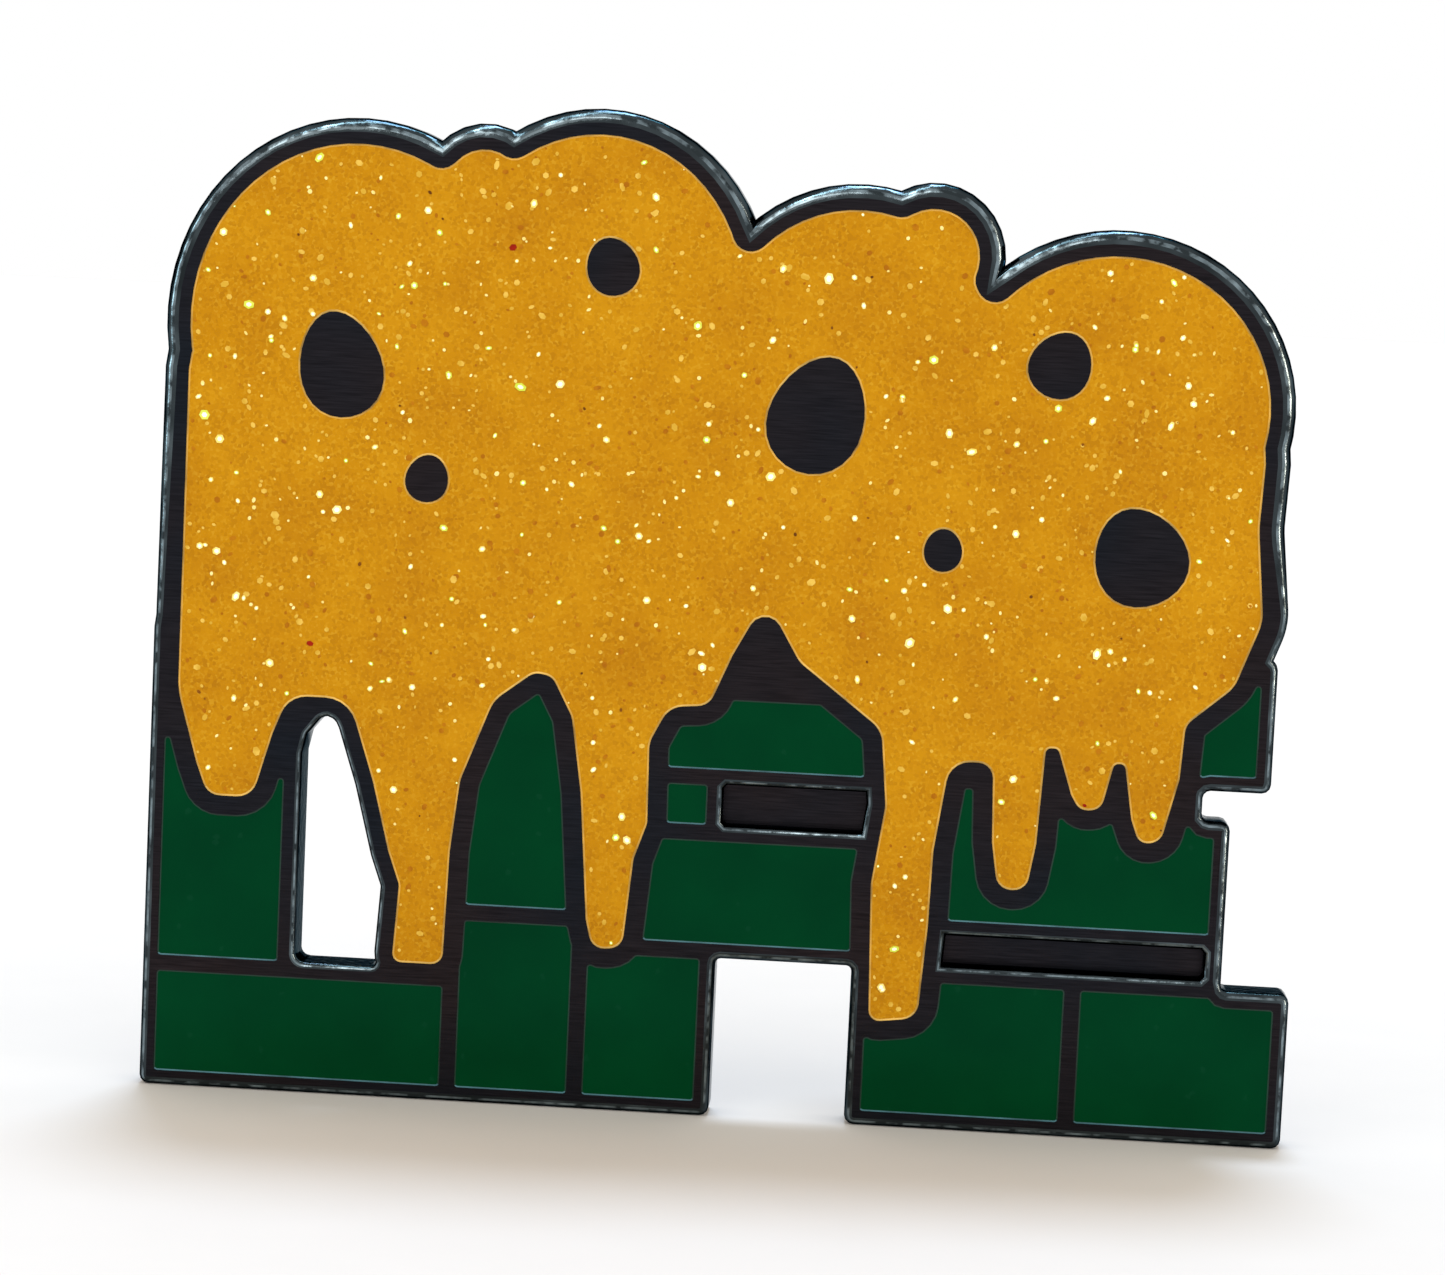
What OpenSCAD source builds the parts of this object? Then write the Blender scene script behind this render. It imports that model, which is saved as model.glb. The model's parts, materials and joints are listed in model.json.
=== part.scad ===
// Enamel lapel pin: melting gold glitter over a dark green block wall, with two butterfly clutches.
// The pin stands as it is worn. +Z is up, the face looks along -Y and the posts point along +Y.
// The origin is on the flat back of the plate, midway between the two posts.

/* [Overall size] */
// Width of the struck plate, from its left edge to its right edge
pin_w = 38; // [30:0.5:50]
// Height of the struck plate, from its bottom edge to the top of the tallest lobe
pin_h = 33; // [27:0.5:45]
// Thickness of the struck plate
plate_t = 1.6; // [1.2:0.1:3]

/* [Enamel and raised lines] */
// Depth of the struck pockets that hold the enamel
pocket_depth = 0.6; // [0.3:0.05:1]
// How far the polished enamel lies below the raised metal
enamel_sink = 0.03; // [0:0.01:0.2]
// Width of the raised rim round the gold
gold_rim = 0.85; // [0.5:0.05:1.5]
// Width of the raised line between the gold and the green
drip_line = 0.62; // [0.3:0.02:1]
// Width of the raised rim round the green wall and its openings
wall_rim = 0.5; // [0.3:0.05:1]
// Width of the raised line between two green blocks
joint_line = 0.5; // [0.3:0.05:1]
// Smallest corner radius that the enamel fills
enamel_corner = 0.12; // [0.05:0.01:0.3]
// Corner radius of the valleys between the gold's lobes
valley_corner = 0.6; // [0.2:0.05:1.5]
// Smallest corner radius of the plate's cut edge
edge_corner = 0.3; // [0.05:0.01:0.5]
// Depth of the two bare recesses in the wall
recess_depth = 0.75; // [0.2:0.05:1.2]

/* [Posts] */
// Distance between the two posts
post_spacing = 19; // [14:0.5:22]
// Height of the posts above the plate's bottom edge
post_rise = 20; // [16:0.5:22]
// Diameter of a post
post_d = 1.2; // [0.9:0.05:1.6]
// Length of a post from the plate's back to its point
post_len = 8; // [7:0.5:11]
// Length of the ground point at a post's end
point_len = 0.8; // [0.4:0.1:1.5]
// Straight wall between the point and the locking groove
tip_len = 1; // [0.6:0.1:1.5]
// Width of the locking groove
groove_w = 0.6; // [0.55:0.05:0.9]
// Depth of the locking groove
groove_depth = 0.2; // [0.16:0.01:0.25]
// Diameter of the flat head that is soldered to the plate
head_d = 2.6; // [2:0.1:4]
// Thickness of that head
head_t = 0.35; // [0.2:0.05:0.6]
// Diameter of the shallow seat in the plate's back, which the solder fills
seat_d = 3.8; // [3:0.1:5]
// Depth of the seat
seat_depth = 0.12; // [0.05:0.01:0.3]

/* [Clutches] */
// Distance from the plate's back to a clutch at rest, which is the room for the cloth
cloth_gap = 2.5; // [2.2:0.1:3.5]
// Diameter of a clutch
clutch_d = 11.5; // [9:0.1:13]
// Thickness of the clutch's base and cap sheet
sheet_t = 0.3; // [0.2:0.05:0.5]
// Diameter of the post hole in the clutch's base
base_hole_d = 1.9; // [1.6:0.1:2.6]
// Height of the base's rolled rim
rim_h = 0.9; // [0.85:0.05:1.4]
// Width of the lip that the rolled rim folds over the cap's flange
lip_w = 0.6; // [0.4:0.05:1]
// Gap between the cap's flange and the rolled rim round it
flange_gap = 0.05; // [0.03:0.01:0.15]
// Diameter of the cap's flat top
cap_top_d = 7; // [6:0.1:8]
// Diameter of the foot of the cap's dome
cap_foot_d = 9; // [8:0.1:10]
// Height of the cap above the base's lower face
cap_h = 2.5; // [2.2:0.1:3.5]
// Thickness of the two spring leaves
leaf_t = 0.3; // [0.2:0.02:0.4]
// Width of a leaf where it passes through the cap
neck_w = 3; // [2:0.1:4]
// Width of a leaf's finger wing
wing_w = 5.8; // [4:0.1:7]
// Distance from the post's axis to the far side of a leaf's bend
leaf_reach = 2.6; // [2.2:0.1:3]
// Radius of a leaf's bend, to its middle line
bend_r = 0.5; // [0.35:0.05:0.6]
// Lean of a leaf's riser towards the post, in degrees
riser_lean = 18; // [8:1:24]
// Radius of the flare above the cap, to the leaf's middle line
flare_r = 0.9; // [0.6:0.05:1.2]
// Lean of a wing away from the post, in degrees
wing_lean = 52; // [35:1:65]
// Height of a leaf's jaw above the base's lower face
jaw_h = 1.05; // [0.95:0.05:1.4]
// Gap between the jaws and the post
jaw_gap = 0.03; // [0.02:0.01:0.08]
// Gap round a leaf's neck in the cap's slot
slot_gap = 0.12; // [0.08:0.01:0.4]
// Length of a wing's straight part
wing_len = 2.6; // [2:0.1:3.5]
// Radius of the curl at a wing's end
curl_r = 0.5; // [0.35:0.05:0.8]

/* [Hidden] */
$fn = 48;
post_r = post_d / 2;
post_x = post_spacing / 2;
groove_y = post_len - point_len - tip_len - groove_w;
roll_r = rim_h / 2;
channel_h = sheet_t + 2 * flange_gap;
flange_r = clutch_d / 2 - roll_r;

// The artwork is drawn on a grid 38 wide, centred on x = 0, and 33 high, and follows the pin's size.
grid_w = 38;
grid_h = 33;

function art(p) = [p[0] * pin_w / grid_w, p[1] * pin_h / grid_h];
function unit(v) = v / norm(v);
function bound(v) = max(-1, min(1, v));

// One rounded corner p between its neighbours a and b, as an arc no longer than half of either side
function corner(a, p, b, r, n) =
    let (u = unit(a - p), v = unit(b - p), half = acos(bound(u * v)) / 2)
    let (reach = min(r / tan(half), 0.48 * norm(a - p), 0.48 * norm(b - p)))
    let (rr = reach * tan(half), c = p + unit(u + v) * rr / sin(half))
    let (s = p + u * reach - c, e = p + v * reach - c)
    let (from = atan2(s[1], s[0]), turn = (atan2(e[1], e[0]) - from + 540) % 360 - 180)
    [for (i = [0:n]) c + rr * [cos(from + turn * i / n), sin(from + turn * i / n)]];

// A closed path of [x, z, corner radius] on the grid
function rounded(path, n = 3) = [
    for (i = [0:len(path) - 1])
        let (k = len(path), a = path[(i + k - 1) % k], p = path[i], b = path[(i + 1) % k])
        each corner(art(a), art(p), art(b), p[2], n)
];

// An egg on the grid: centre, half width, half height, how much wider its foot is, and its lean
function egg(x, z, rx, rz, fat, lean, n = 28) = [
    for (i = [0:n - 1])
        let (t = 360 * i / n, u = rx * cos(t) * (1 - fat * sin(t)), w = rz * sin(t))
        art([x + u * cos(lean) - w * sin(lean), z + u * sin(lean) + w * cos(lean)])
];

// The round lobes along the top of the gold: [x, z, half width, half height]
lobes = [
    [-12.7, 25.6, 5.4, 5.9],
    [-4.8, 26.9, 4.8, 5.25],
    [3.7, 25.6, 4.4, 4.5],
    [12.2, 24.1, 5.05, 4.9],
    [-8.6, 29.6, 1.5, 1.9],
    [6.1, 28.7, 1.5, 1.55]
];

// The gold below its lobes, down the left side, round each drip and up the right side
drip_path = [
    [-18.1, 25.6, 2], [-18.1, 13.3, 3], [-17.4, 10.9, 0.8], [-17, 9.85, 0.6], [-15.5, 9.85, 0.7],
    [-14.9, 12, 1], [-14.4, 13.3, 0.9], [-12.4, 13.3, 1.1], [-11.5, 10.6, 1.5], [-10.9, 8.3, 1],
    [-10.5, 7.2, 0.5], [-10.65, 4.6, 0.3], [-8.95, 4.6, 0.4], [-8.85, 8.4, 1], [-8.6, 10.8, 1.5],
    [-7.6, 13.5, 1.2], [-6.3, 14.5, 0.5], [-5.7, 14.4, 0.5], [-5, 13.1, 1], [-4.6, 10.6, 1],
    [-4.25, 6.4, 0.6], [-4, 5.4, 0.5], [-3, 5.5, 0.5], [-2.75, 8.5, 0.8], [-2.35, 9.7, 0.6],
    [-2.4, 12.4, 1], [-1.8, 13.6, 0.8], [-0.5, 13.7, 0.6], [0.2, 15.4, 0.8], [1.2, 17.3, 0.55],
    [2.4, 15.3, 1], [5.2, 13.2, 0.9], [5.45, 10.7, 1], [5.1, 8.1, 1], [5.25, 3.5, 0.35],
    [6.85, 3.7, 0.6], [7.05, 6.8, 1], [7.1, 9.3, 1], [7.5, 12.3, 0.8], [8.9, 12.3, 0.5],
    [9, 9.7, 0.8], [9.25, 8.15, 0.6], [10.2, 8.15, 0.5], [10.45, 9.7, 0.8], [10.6, 12.9, 0.18],
    [11, 12.9, 0.18], [11.5, 11.4, 0.4], [11.8, 10.9, 0.5], [12.5, 10.95, 0.5], [12.85, 12.5, 0.18],
    [13.2, 12.5, 0.18], [13.5, 10.7, 0.4], [13.8, 9.9, 0.4], [14.5, 10, 0.5], [15, 12.1, 0.8],
    [15.1, 13.9, 0.6], [16.6, 15.2, 1.2], [17.4, 17.4, 1.6], [17.1, 20.4, 3], [17.25, 24.1, 2],
    [12.2, 25.5, 0.5], [3.9, 26, 0.5], [-4.8, 27, 0.5], [-12.7, 26.5, 0.5]
];

// Bubbles of bare metal in the gold: [x, z, half width, half height, fatness, lean]
bubbles = [
    [-13.1, 24.3, 1.35, 1.75, 0.16, 14],
    [-10.1, 20.7, 0.7, 0.78, 0.1, -10],
    [-4.3, 27.9, 0.85, 0.95, 0.1, 20],
    [2.6, 23.4, 1.55, 1.95, 0.14, -18],
    [6.9, 19.2, 0.62, 0.7, 0.08, 0],
    [10.4, 25.4, 1, 1.1, 0.12, -25],
    [13.3, 19.3, 1.5, 1.62, 0.15, 24]
];

// The wall's outer edge, with its stepped right side
wall_path = [
    [-19, 0, 0.2], [19, 0, 0.2], [19, 5.15, 0.25], [16.75, 5.15, 0.2], [16.75, 10.75, 0.2],
    [15.8, 10.75, 0.25], [15.8, 11.75, 0.25], [18, 11.75, 0.2], [18, 16, 0.4], [14, 19, 1],
    [-16, 19, 1], [-19, 16, 1.5]
];

// The doorway open at the bottom, the arched window and the two bare recesses
door_path = [[0.1, -2, 0.1], [4.6, -2, 0.1], [4.6, 5.3, 0.18], [0.1, 5.3, 0.18]];
window_path = [[-13.9, 4.4, 0.3], [-10, 4.4, 0.3], [-10, 13.5, 1.5], [-13.9, 12.6, 1.5]];
bar_path = [[0.1, 9.75, 0.12], [6, 9.75, 0.12], [6, 11.1, 0.12], [0.1, 11.1, 0.12]];
slot_path = [[6, 5.5, 0.12], [16.15, 5.5, 0.12], [16.15, 6.5, 0.12], [6, 6.5, 0.12]];

// The wall's blocks: [left, bottom, right, top] along the middle of the lines between them
sill = [-19, 0, -8.65, 4.15];
jamb = [-19, 4.15, -14.2, 14];
pier_foot = [-8.65, 0, -4.4, 6.4];
pier = [-8.65, 6.4, -4.4, 15];
door_foot = [-4.4, 0, 0.3, 5.55];
lintel = [-4.4, 5.55, 5.4, 9.5];
closer = [-2.6, 9.5, -0.15, 11.35];
keystone = [-2.6, 11.35, 5.6, 14.2];
right_foot = [4.4, 0, 11.9, 5.2];
right_corner = [11.9, 0, 19, 5.2];
right_block = [6.6, 6.75, 17, 11.7];
right_cap = [15, 11.7, 18.5, 16.4];

module gold_mass() {
    offset(r = -valley_corner, $fn = 20)
        offset(delta = valley_corner)
            for (l = lobes)
                polygon(egg(l[0], l[1], l[2], l[3], 0, 0, round(18 + 8 * l[2])));
    polygon(rounded(drip_path, 5));
}

module bubble_shapes() {
    for (b = bubbles)
        polygon(egg(b[0], b[1], b[2], b[3], b[4], b[5]));
}

module window_shape() {
    offset(r = 0.15, $fn = 12)
        offset(delta = -0.15)
            difference() {
                polygon(rounded(window_path));
                offset(delta = drip_line) gold_mass();
            }
}

module plate_outline() {
    offset(r = edge_corner, $fn = 12)
        offset(delta = -edge_corner)
            difference() {
                union() {
                    offset(delta = gold_rim) gold_mass();
                    polygon(rounded(wall_path));
                }
                polygon(rounded(door_path));
            }
}

module recess_shapes() {
    offset(delta = 0.1)
        offset(delta = -0.1)
            difference() {
                union() {
                    polygon(rounded(bar_path, 1));
                    polygon(rounded(slot_path, 1));
                }
                offset(delta = drip_line) gold_mass();
            }
}

// All the green ground, which the lines between the blocks then divide
module wall_ground() {
    difference() {
        offset(delta = -wall_rim) plate_outline();
        offset(delta = drip_line) gold_mass();
        offset(delta = wall_rim) window_shape();
        offset(delta = wall_rim) recess_shapes();
    }
}

module block_shape(b) {
    offset(r = enamel_corner, $fn = 12)
        offset(delta = -enamel_corner)
            intersection() {
                wall_ground();
                offset(delta = -joint_line / 2)
                    polygon([art([b[0], b[1]]), art([b[2], b[1]]), art([b[2], b[3]]), art([b[0], b[3]])]);
            }
}

module gold_shape() {
    offset(delta = enamel_corner)
        offset(delta = -enamel_corner)
            difference() {
                gold_mass();
                bubble_shapes();
            }
}

// A flat shape drawn in x and z, standing between two depths behind the front face
module struck(front, back) {
    translate([0, back - plate_t, -post_rise])
        rotate([90, 0, 0])
            linear_extrude(back - front)
                children();
}

module pocket() {
    struck(-1, pocket_depth) children();
}

module fill() {
    struck(enamel_sink, pocket_depth) children();
}

// A shape turned about the axis of the post at x
module on_post(x) {
    translate([x, 0, 0])
        rotate([-90, 0, 0])
            children();
}

module struck_plate() {
    color("#231f20")
        difference() {
            struck(0, plate_t) plate_outline();
            struck(-1, plate_t + 1) window_shape();
            struck(-1, recess_depth) recess_shapes();
            pocket() gold_shape();
            for (b = [sill, jamb, pier_foot, pier, door_foot, lintel, closer, keystone])
                pocket() block_shape(b);
            for (b = [right_foot, right_corner, right_block, right_cap])
                pocket() block_shape(b);
            for (x = [-post_x, post_x])
                on_post(x)
                    translate([0, 0, -seat_depth])
                        cylinder(d = seat_d, h = seat_depth + 1);
        }
}

module gold_glitter_enamel() {
    color("#d69610")
        fill() gold_shape();
}

module green_block(b) {
    color("#003c1c")
        fill() block_shape(b);
}

module green_sill_enamel() {
    green_block(sill);
}

module green_window_jamb_enamel() {
    green_block(jamb);
}

module green_pier_foot_enamel() {
    green_block(pier_foot);
}

module green_pier_enamel() {
    green_block(pier);
}

module green_door_foot_enamel() {
    green_block(door_foot);
}

module green_lintel_enamel() {
    green_block(lintel);
}

module green_closer_enamel() {
    green_block(closer);
}

module green_keystone_enamel() {
    green_block(keystone);
}

module green_right_foot_enamel() {
    green_block(right_foot);
}

module green_right_corner_enamel() {
    green_block(right_corner);
}

module green_right_block_enamel() {
    green_block(right_block);
}

module green_right_cap_enamel() {
    green_block(right_cap);
}

// A headed nail with a locking groove and a ground point
module post(x) {
    color("#c9c9c4")
        on_post(x)
            rotate_extrude()
                polygon([
                    [0, -seat_depth],
                    [head_d / 2, -seat_depth],
                    [head_d / 2, head_t - seat_depth],
                    [post_r, head_t - seat_depth],
                    [post_r, groove_y],
                    [post_r - groove_depth, groove_y + groove_w * 0.3],
                    [post_r - groove_depth, groove_y + groove_w * 0.7],
                    [post_r, groove_y + groove_w],
                    [post_r, post_len - point_len],
                    [post_r * 0.15, post_len],
                    [0, post_len]
                ]);
}

// The solder that fills the seat round the post's head and slopes up to it
module solder(x) {
    color("#9d9d9a")
        on_post(x)
            rotate_extrude()
                polygon([
                    [head_d / 2, -seat_depth],
                    [seat_d / 2, -seat_depth],
                    [seat_d / 2, 0],
                    [head_d / 2 + (seat_d - head_d) * 0.18, (head_t - seat_depth) * 0.45],
                    [head_d / 2, head_t - seat_depth]
                ]);
}

// The round disc with its rim rolled over the cap's flange
module clutch_base(x) {
    color("#c8a24a")
        translate([0, cloth_gap, 0])
            on_post(x)
                rotate_extrude()
                    difference() {
                        union() {
                            translate([base_hole_d / 2, 0])
                                square([clutch_d / 2 - roll_r - base_hole_d / 2, sheet_t]);
                            translate([clutch_d / 2 - roll_r, roll_r])
                                circle(r = roll_r);
                            translate([clutch_d / 2 - roll_r - lip_w, sheet_t])
                                square([lip_w, rim_h - sheet_t]);
                        }
                        translate([0, sheet_t])
                            square([flange_r + flange_gap, channel_h]);
                    }
}

// The domed cap. Its slot lets the wings through, hooks their bends and has round ends that they rock on
module clutch_cap(x) {
    slot_z = neck_w + 2 * slot_gap;
    color("#c8a24a")
        translate([0, cloth_gap, 0])
            on_post(x) {
                difference() {
                    rotate_extrude()
                        polygon([
                            [cap_foot_d / 2 - sheet_t, sheet_t + flange_gap],
                            [flange_r, sheet_t + flange_gap],
                            [flange_r, 2 * sheet_t + flange_gap],
                            [cap_foot_d / 2, 2 * sheet_t + flange_gap],
                            [cap_top_d / 2 + 0.35, cap_h - 0.3],
                            [cap_top_d / 2, cap_h],
                            [0, cap_h],
                            [0, cap_h - sheet_t],
                            [cap_top_d / 2 - 0.15, cap_h - sheet_t],
                            [cap_top_d / 2 + 0.05, cap_h - sheet_t - 0.2]
                        ]);
                    translate([-pivot_x, -slot_z / 2, cap_h - sheet_t - 1])
                        cube([2 * pivot_x, slot_z, sheet_t + 2]);
                }
                for (side = [-1, 1])
                    translate([side * pivot_x, 0, neck_h])
                        rotate([90, 0, 0])
                            cylinder(d = sheet_t, h = slot_z, center = true);
            }
}

// Middle line of a leaf: jaw, bend, riser through the slot, flare, wing and curled end.
// The riser ends at the middle of the cap's sheet, where the leaf rocks on the slot's end.
function arc(c, r, from, to, n) = [for (i = [0:n]) c + r * [cos(from + (to - from) * i / n),
    sin(from + (to - from) * i / n)]];
function last(v) = v[len(v) - 1];
function leaf_bend() =
    arc([leaf_reach - leaf_t / 2 - bend_r, jaw_h + bend_r], bend_r, -90, riser_lean, 9);
neck_h = cap_h - sheet_t / 2;
neck_x = last(leaf_bend())[0] - (neck_h - last(leaf_bend())[1]) * tan(riser_lean);
// The slot's round end, whose middle is the axis that a leaf rocks about
pivot_x = neck_x + leaf_t / 2 / cos(riser_lean) + slot_gap + sheet_t / 2;
function leaf_line() =
    let (bend = leaf_bend(), s = [neck_x, neck_h])
    let (c2 = s + flare_r * [cos(riser_lean), sin(riser_lean)])
    let (flare = arc(c2, flare_r, 180 + riser_lean, 90 + wing_lean, 8))
    let (w = last(flare) + wing_len * [sin(wing_lean), cos(wing_lean)])
    let (c3 = w + curl_r * [cos(wing_lean), -sin(wing_lean)])
    concat([[post_r * 0.3, jaw_h]], bend, flare, arc(c3, curl_r, 180 - wing_lean, -60, 12));

// The leaf's two faces, half its thickness to each side of its middle line
function side_of(v, i) =
    let (a = v[max(i - 1, 0)], b = v[min(i + 1, len(v) - 1)], d = unit(b - a))
    [-d[1], d[0]];
function faces_of(v, t) = concat(
    [for (i = [0:len(v) - 1]) v[i] + side_of(v, i) * t / 2],
    [for (i = [len(v) - 1:-1:0]) v[i] - side_of(v, i) * t / 2]
);

// The leaf's width, narrow at the jaw and neck and wide at the wing, as half widths over height
module leaf_plan() {
    top = last([for (p = leaf_line()) p[1]]) + 2;
    wide_h = cap_h + 0.9;
    linear_extrude(20, center = true)
        polygon([
            [jaw_h - 1, -neck_w / 2], [cap_h + 0.25, -neck_w / 2], [wide_h, -wing_w / 2 + 0.5],
            [wide_h + 0.5, -wing_w / 2], [top, -wing_w / 2],
            [top, wing_w / 2], [wide_h + 0.5, wing_w / 2],
            [wide_h, wing_w / 2 - 0.5], [cap_h + 0.25, neck_w / 2], [jaw_h - 1, neck_w / 2]
        ]);
}

// One spring leaf of the clutch at x, on its +x side or its -x side
module clutch_leaf(x, side) {
    color("#d0ab55")
        translate([x, cloth_gap, 0])
            mirror([side > 0 ? 0 : 1, 0, 0])
                difference() {
                    intersection() {
                        linear_extrude(wing_w + 2, center = true)
                            polygon(faces_of(leaf_line(), leaf_t));
                        rotate([0, 90, 0])
                            rotate([0, 0, 90])
                                leaf_plan();
                    }
                    rotate([-90, 0, 0])
                        translate([0, 0, jaw_h - 1])
                            cylinder(r = post_r + jaw_gap, h = 2);
                }
}

module left_post() {
    post(-post_x);
}

module right_post() {
    post(post_x);
}

module left_post_solder() {
    solder(-post_x);
}

module right_post_solder() {
    solder(post_x);
}

module left_clutch_base() {
    clutch_base(-post_x);
}

module left_clutch_cap() {
    clutch_cap(-post_x);
}

module left_clutch_inner_wing() {
    clutch_leaf(-post_x, 1);
}

module left_clutch_outer_wing() {
    clutch_leaf(-post_x, -1);
}

module right_clutch_base() {
    clutch_base(post_x);
}

module right_clutch_cap() {
    clutch_cap(post_x);
}

module right_clutch_inner_wing() {
    clutch_leaf(post_x, -1);
}

module right_clutch_outer_wing() {
    clutch_leaf(post_x, 1);
}

struck_plate();
gold_glitter_enamel();
green_sill_enamel();
green_window_jamb_enamel();
green_pier_foot_enamel();
green_pier_enamel();
green_door_foot_enamel();
green_lintel_enamel();
green_closer_enamel();
green_keystone_enamel();
green_right_foot_enamel();
green_right_corner_enamel();
green_right_block_enamel();
green_right_cap_enamel();
left_post();
right_post();
left_post_solder();
right_post_solder();
left_clutch_base();
left_clutch_cap();
left_clutch_inner_wing();
left_clutch_outer_wing();
right_clutch_base();
right_clutch_cap();
right_clutch_inner_wing();
right_clutch_outer_wing();
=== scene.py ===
"""Looks of an enamel pin: melting gold glitter over a dark green block wall, struck in black nickel.

Two butterfly clutches hold it from behind. Every length below is in metres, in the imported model's frame.
"""

import json
import logging
import math
import random
from collections import Counter
from dataclasses import dataclass
from enum import Enum
from typing import Callable, Iterable

import bmesh
import bpy
from mathutils import Matrix, Quaternion, Vector, noise
from mathutils.kdtree import KDTree

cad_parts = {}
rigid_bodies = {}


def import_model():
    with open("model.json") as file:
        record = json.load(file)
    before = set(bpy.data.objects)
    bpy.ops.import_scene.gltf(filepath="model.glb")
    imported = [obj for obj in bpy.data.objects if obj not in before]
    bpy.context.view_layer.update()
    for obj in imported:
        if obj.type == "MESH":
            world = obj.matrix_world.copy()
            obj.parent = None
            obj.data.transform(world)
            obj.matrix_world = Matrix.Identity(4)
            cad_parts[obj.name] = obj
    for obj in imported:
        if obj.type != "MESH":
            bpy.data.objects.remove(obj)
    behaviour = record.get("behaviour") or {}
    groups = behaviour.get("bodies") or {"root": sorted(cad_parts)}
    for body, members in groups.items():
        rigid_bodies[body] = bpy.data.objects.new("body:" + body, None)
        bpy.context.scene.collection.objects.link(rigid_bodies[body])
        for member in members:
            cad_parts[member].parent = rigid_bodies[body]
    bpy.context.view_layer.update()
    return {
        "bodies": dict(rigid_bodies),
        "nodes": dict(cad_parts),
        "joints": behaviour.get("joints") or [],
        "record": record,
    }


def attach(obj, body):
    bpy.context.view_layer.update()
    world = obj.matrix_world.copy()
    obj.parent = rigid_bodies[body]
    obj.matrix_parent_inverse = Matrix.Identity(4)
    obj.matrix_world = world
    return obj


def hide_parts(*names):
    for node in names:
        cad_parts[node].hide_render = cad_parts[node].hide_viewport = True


LOG = logging.getLogger("enamel_pin")
MM = 0.001
MERGE_GAP = 0.002 * MM
# How much of a normal lies along Y: at least this on a flat face, and at most that on a wall.
FLAT = 0.999
UPRIGHT = 0.1
Colour = tuple[float, float, float]
Point = tuple[float, float]


# Modelling


def select_only(piece: bpy.types.Object) -> None:
    """Makes one object the only selected one and the active one.

    Args:
        piece: the object.
    """
    bpy.ops.object.select_all(action="DESELECT")
    piece.select_set(True)
    bpy.context.view_layer.objects.active = piece


class Bench:
    """One piece on the bench, open in edit mode until the block ends."""

    def __init__(self, piece: bpy.types.Object) -> None:
        """Remembers the piece that is worked on."""
        self.piece = piece

    def __enter__(self) -> "Bench":
        """Opens the piece in edit mode."""
        select_only(self.piece)
        bpy.ops.object.mode_set(mode="EDIT")
        return self

    def __exit__(self, *_: object) -> None:
        """Leaves edit mode."""
        bpy.ops.object.mode_set(mode="OBJECT")

    def mesh(self) -> bmesh.types.BMesh:
        """The open mesh, fetched afresh because an operator may have replaced it."""
        return bmesh.from_edit_mesh(self.piece.data)

    def pick(self, kind: str, test: Callable[..., bool]) -> None:
        """Selects the faces or the edges that pass a test, and nothing else.

        Args:
            kind: FACE or EDGE.
            test: says whether one of them is wanted.
        """
        bpy.ops.mesh.select_mode(type=kind)
        bpy.ops.mesh.select_all(action="DESELECT")
        mesh = self.mesh()
        for part in mesh.faces if kind == "FACE" else mesh.edges:
            if test(part):
                part.select_set(True)
        bmesh.update_edit_mesh(self.piece.data)

    def merge(self) -> None:
        """Merges doubles."""
        bpy.ops.mesh.select_all(action="SELECT")
        bpy.ops.mesh.remove_doubles(threshold=MERGE_GAP)

    def close_up(self) -> None:
        """Merges doubles and turns every face outwards."""
        self.merge()
        bpy.ops.mesh.normals_make_consistent(inside=False)


def copy_of_node(frame: dict, node: str, name: str, whole: bool = True) -> bpy.types.Object:
    """A copy of a CAD node with its loose triangles joined.

    Args:
        node: the CAD node that is copied.
        name: the copy's name.
        whole: whether the triangles of a flat face are made one face.

    Returns:
        The copy, at the origin, with no material.
    """
    mesh = frame["nodes"][node].data.copy()
    mesh.materials.clear()
    piece = bpy.data.objects.new(name, mesh)
    bpy.context.scene.collection.objects.link(piece)
    with Bench(piece) as bench:
        bench.merge()
        if whole:
            bpy.ops.mesh.dissolve_limited(angle_limit=math.radians(0.4))
    return piece


def apply_modifier(piece: bpy.types.Object, kind: str, **settings: object) -> None:
    """Adds a modifier and applies it at once.

    Args:
        piece: the piece that it works on.
        kind: the modifier's type.
        settings: its settings.
    """
    select_only(piece)
    modifier = piece.modifiers.new(kind.lower(), kind)
    for key, value in settings.items():
        setattr(modifier, key, value)
    bpy.ops.object.modifier_apply(modifier=modifier.name)


def cut_away(piece: bpy.types.Object, cutter: bpy.types.Object) -> None:
    """Cuts a solid away from a piece and throws the cutter out."""
    apply_modifier(piece, "BOOLEAN", operation="DIFFERENCE", solver="EXACT", object=cutter)
    bpy.data.objects.remove(cutter)


def smooth_shading(piece: bpy.types.Object, sharp: float) -> None:
    """Shades smooth up to an angle, with large flat faces kept flat.

    Args:
        piece: the piece.
        sharp: the least angle that stays sharp, in degrees.
    """
    select_only(piece)
    bpy.ops.object.shade_smooth_by_angle(angle=math.radians(sharp))
    apply_modifier(piece, "WEIGHTED_NORMAL", keep_sharp=True, weight=80)


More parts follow.
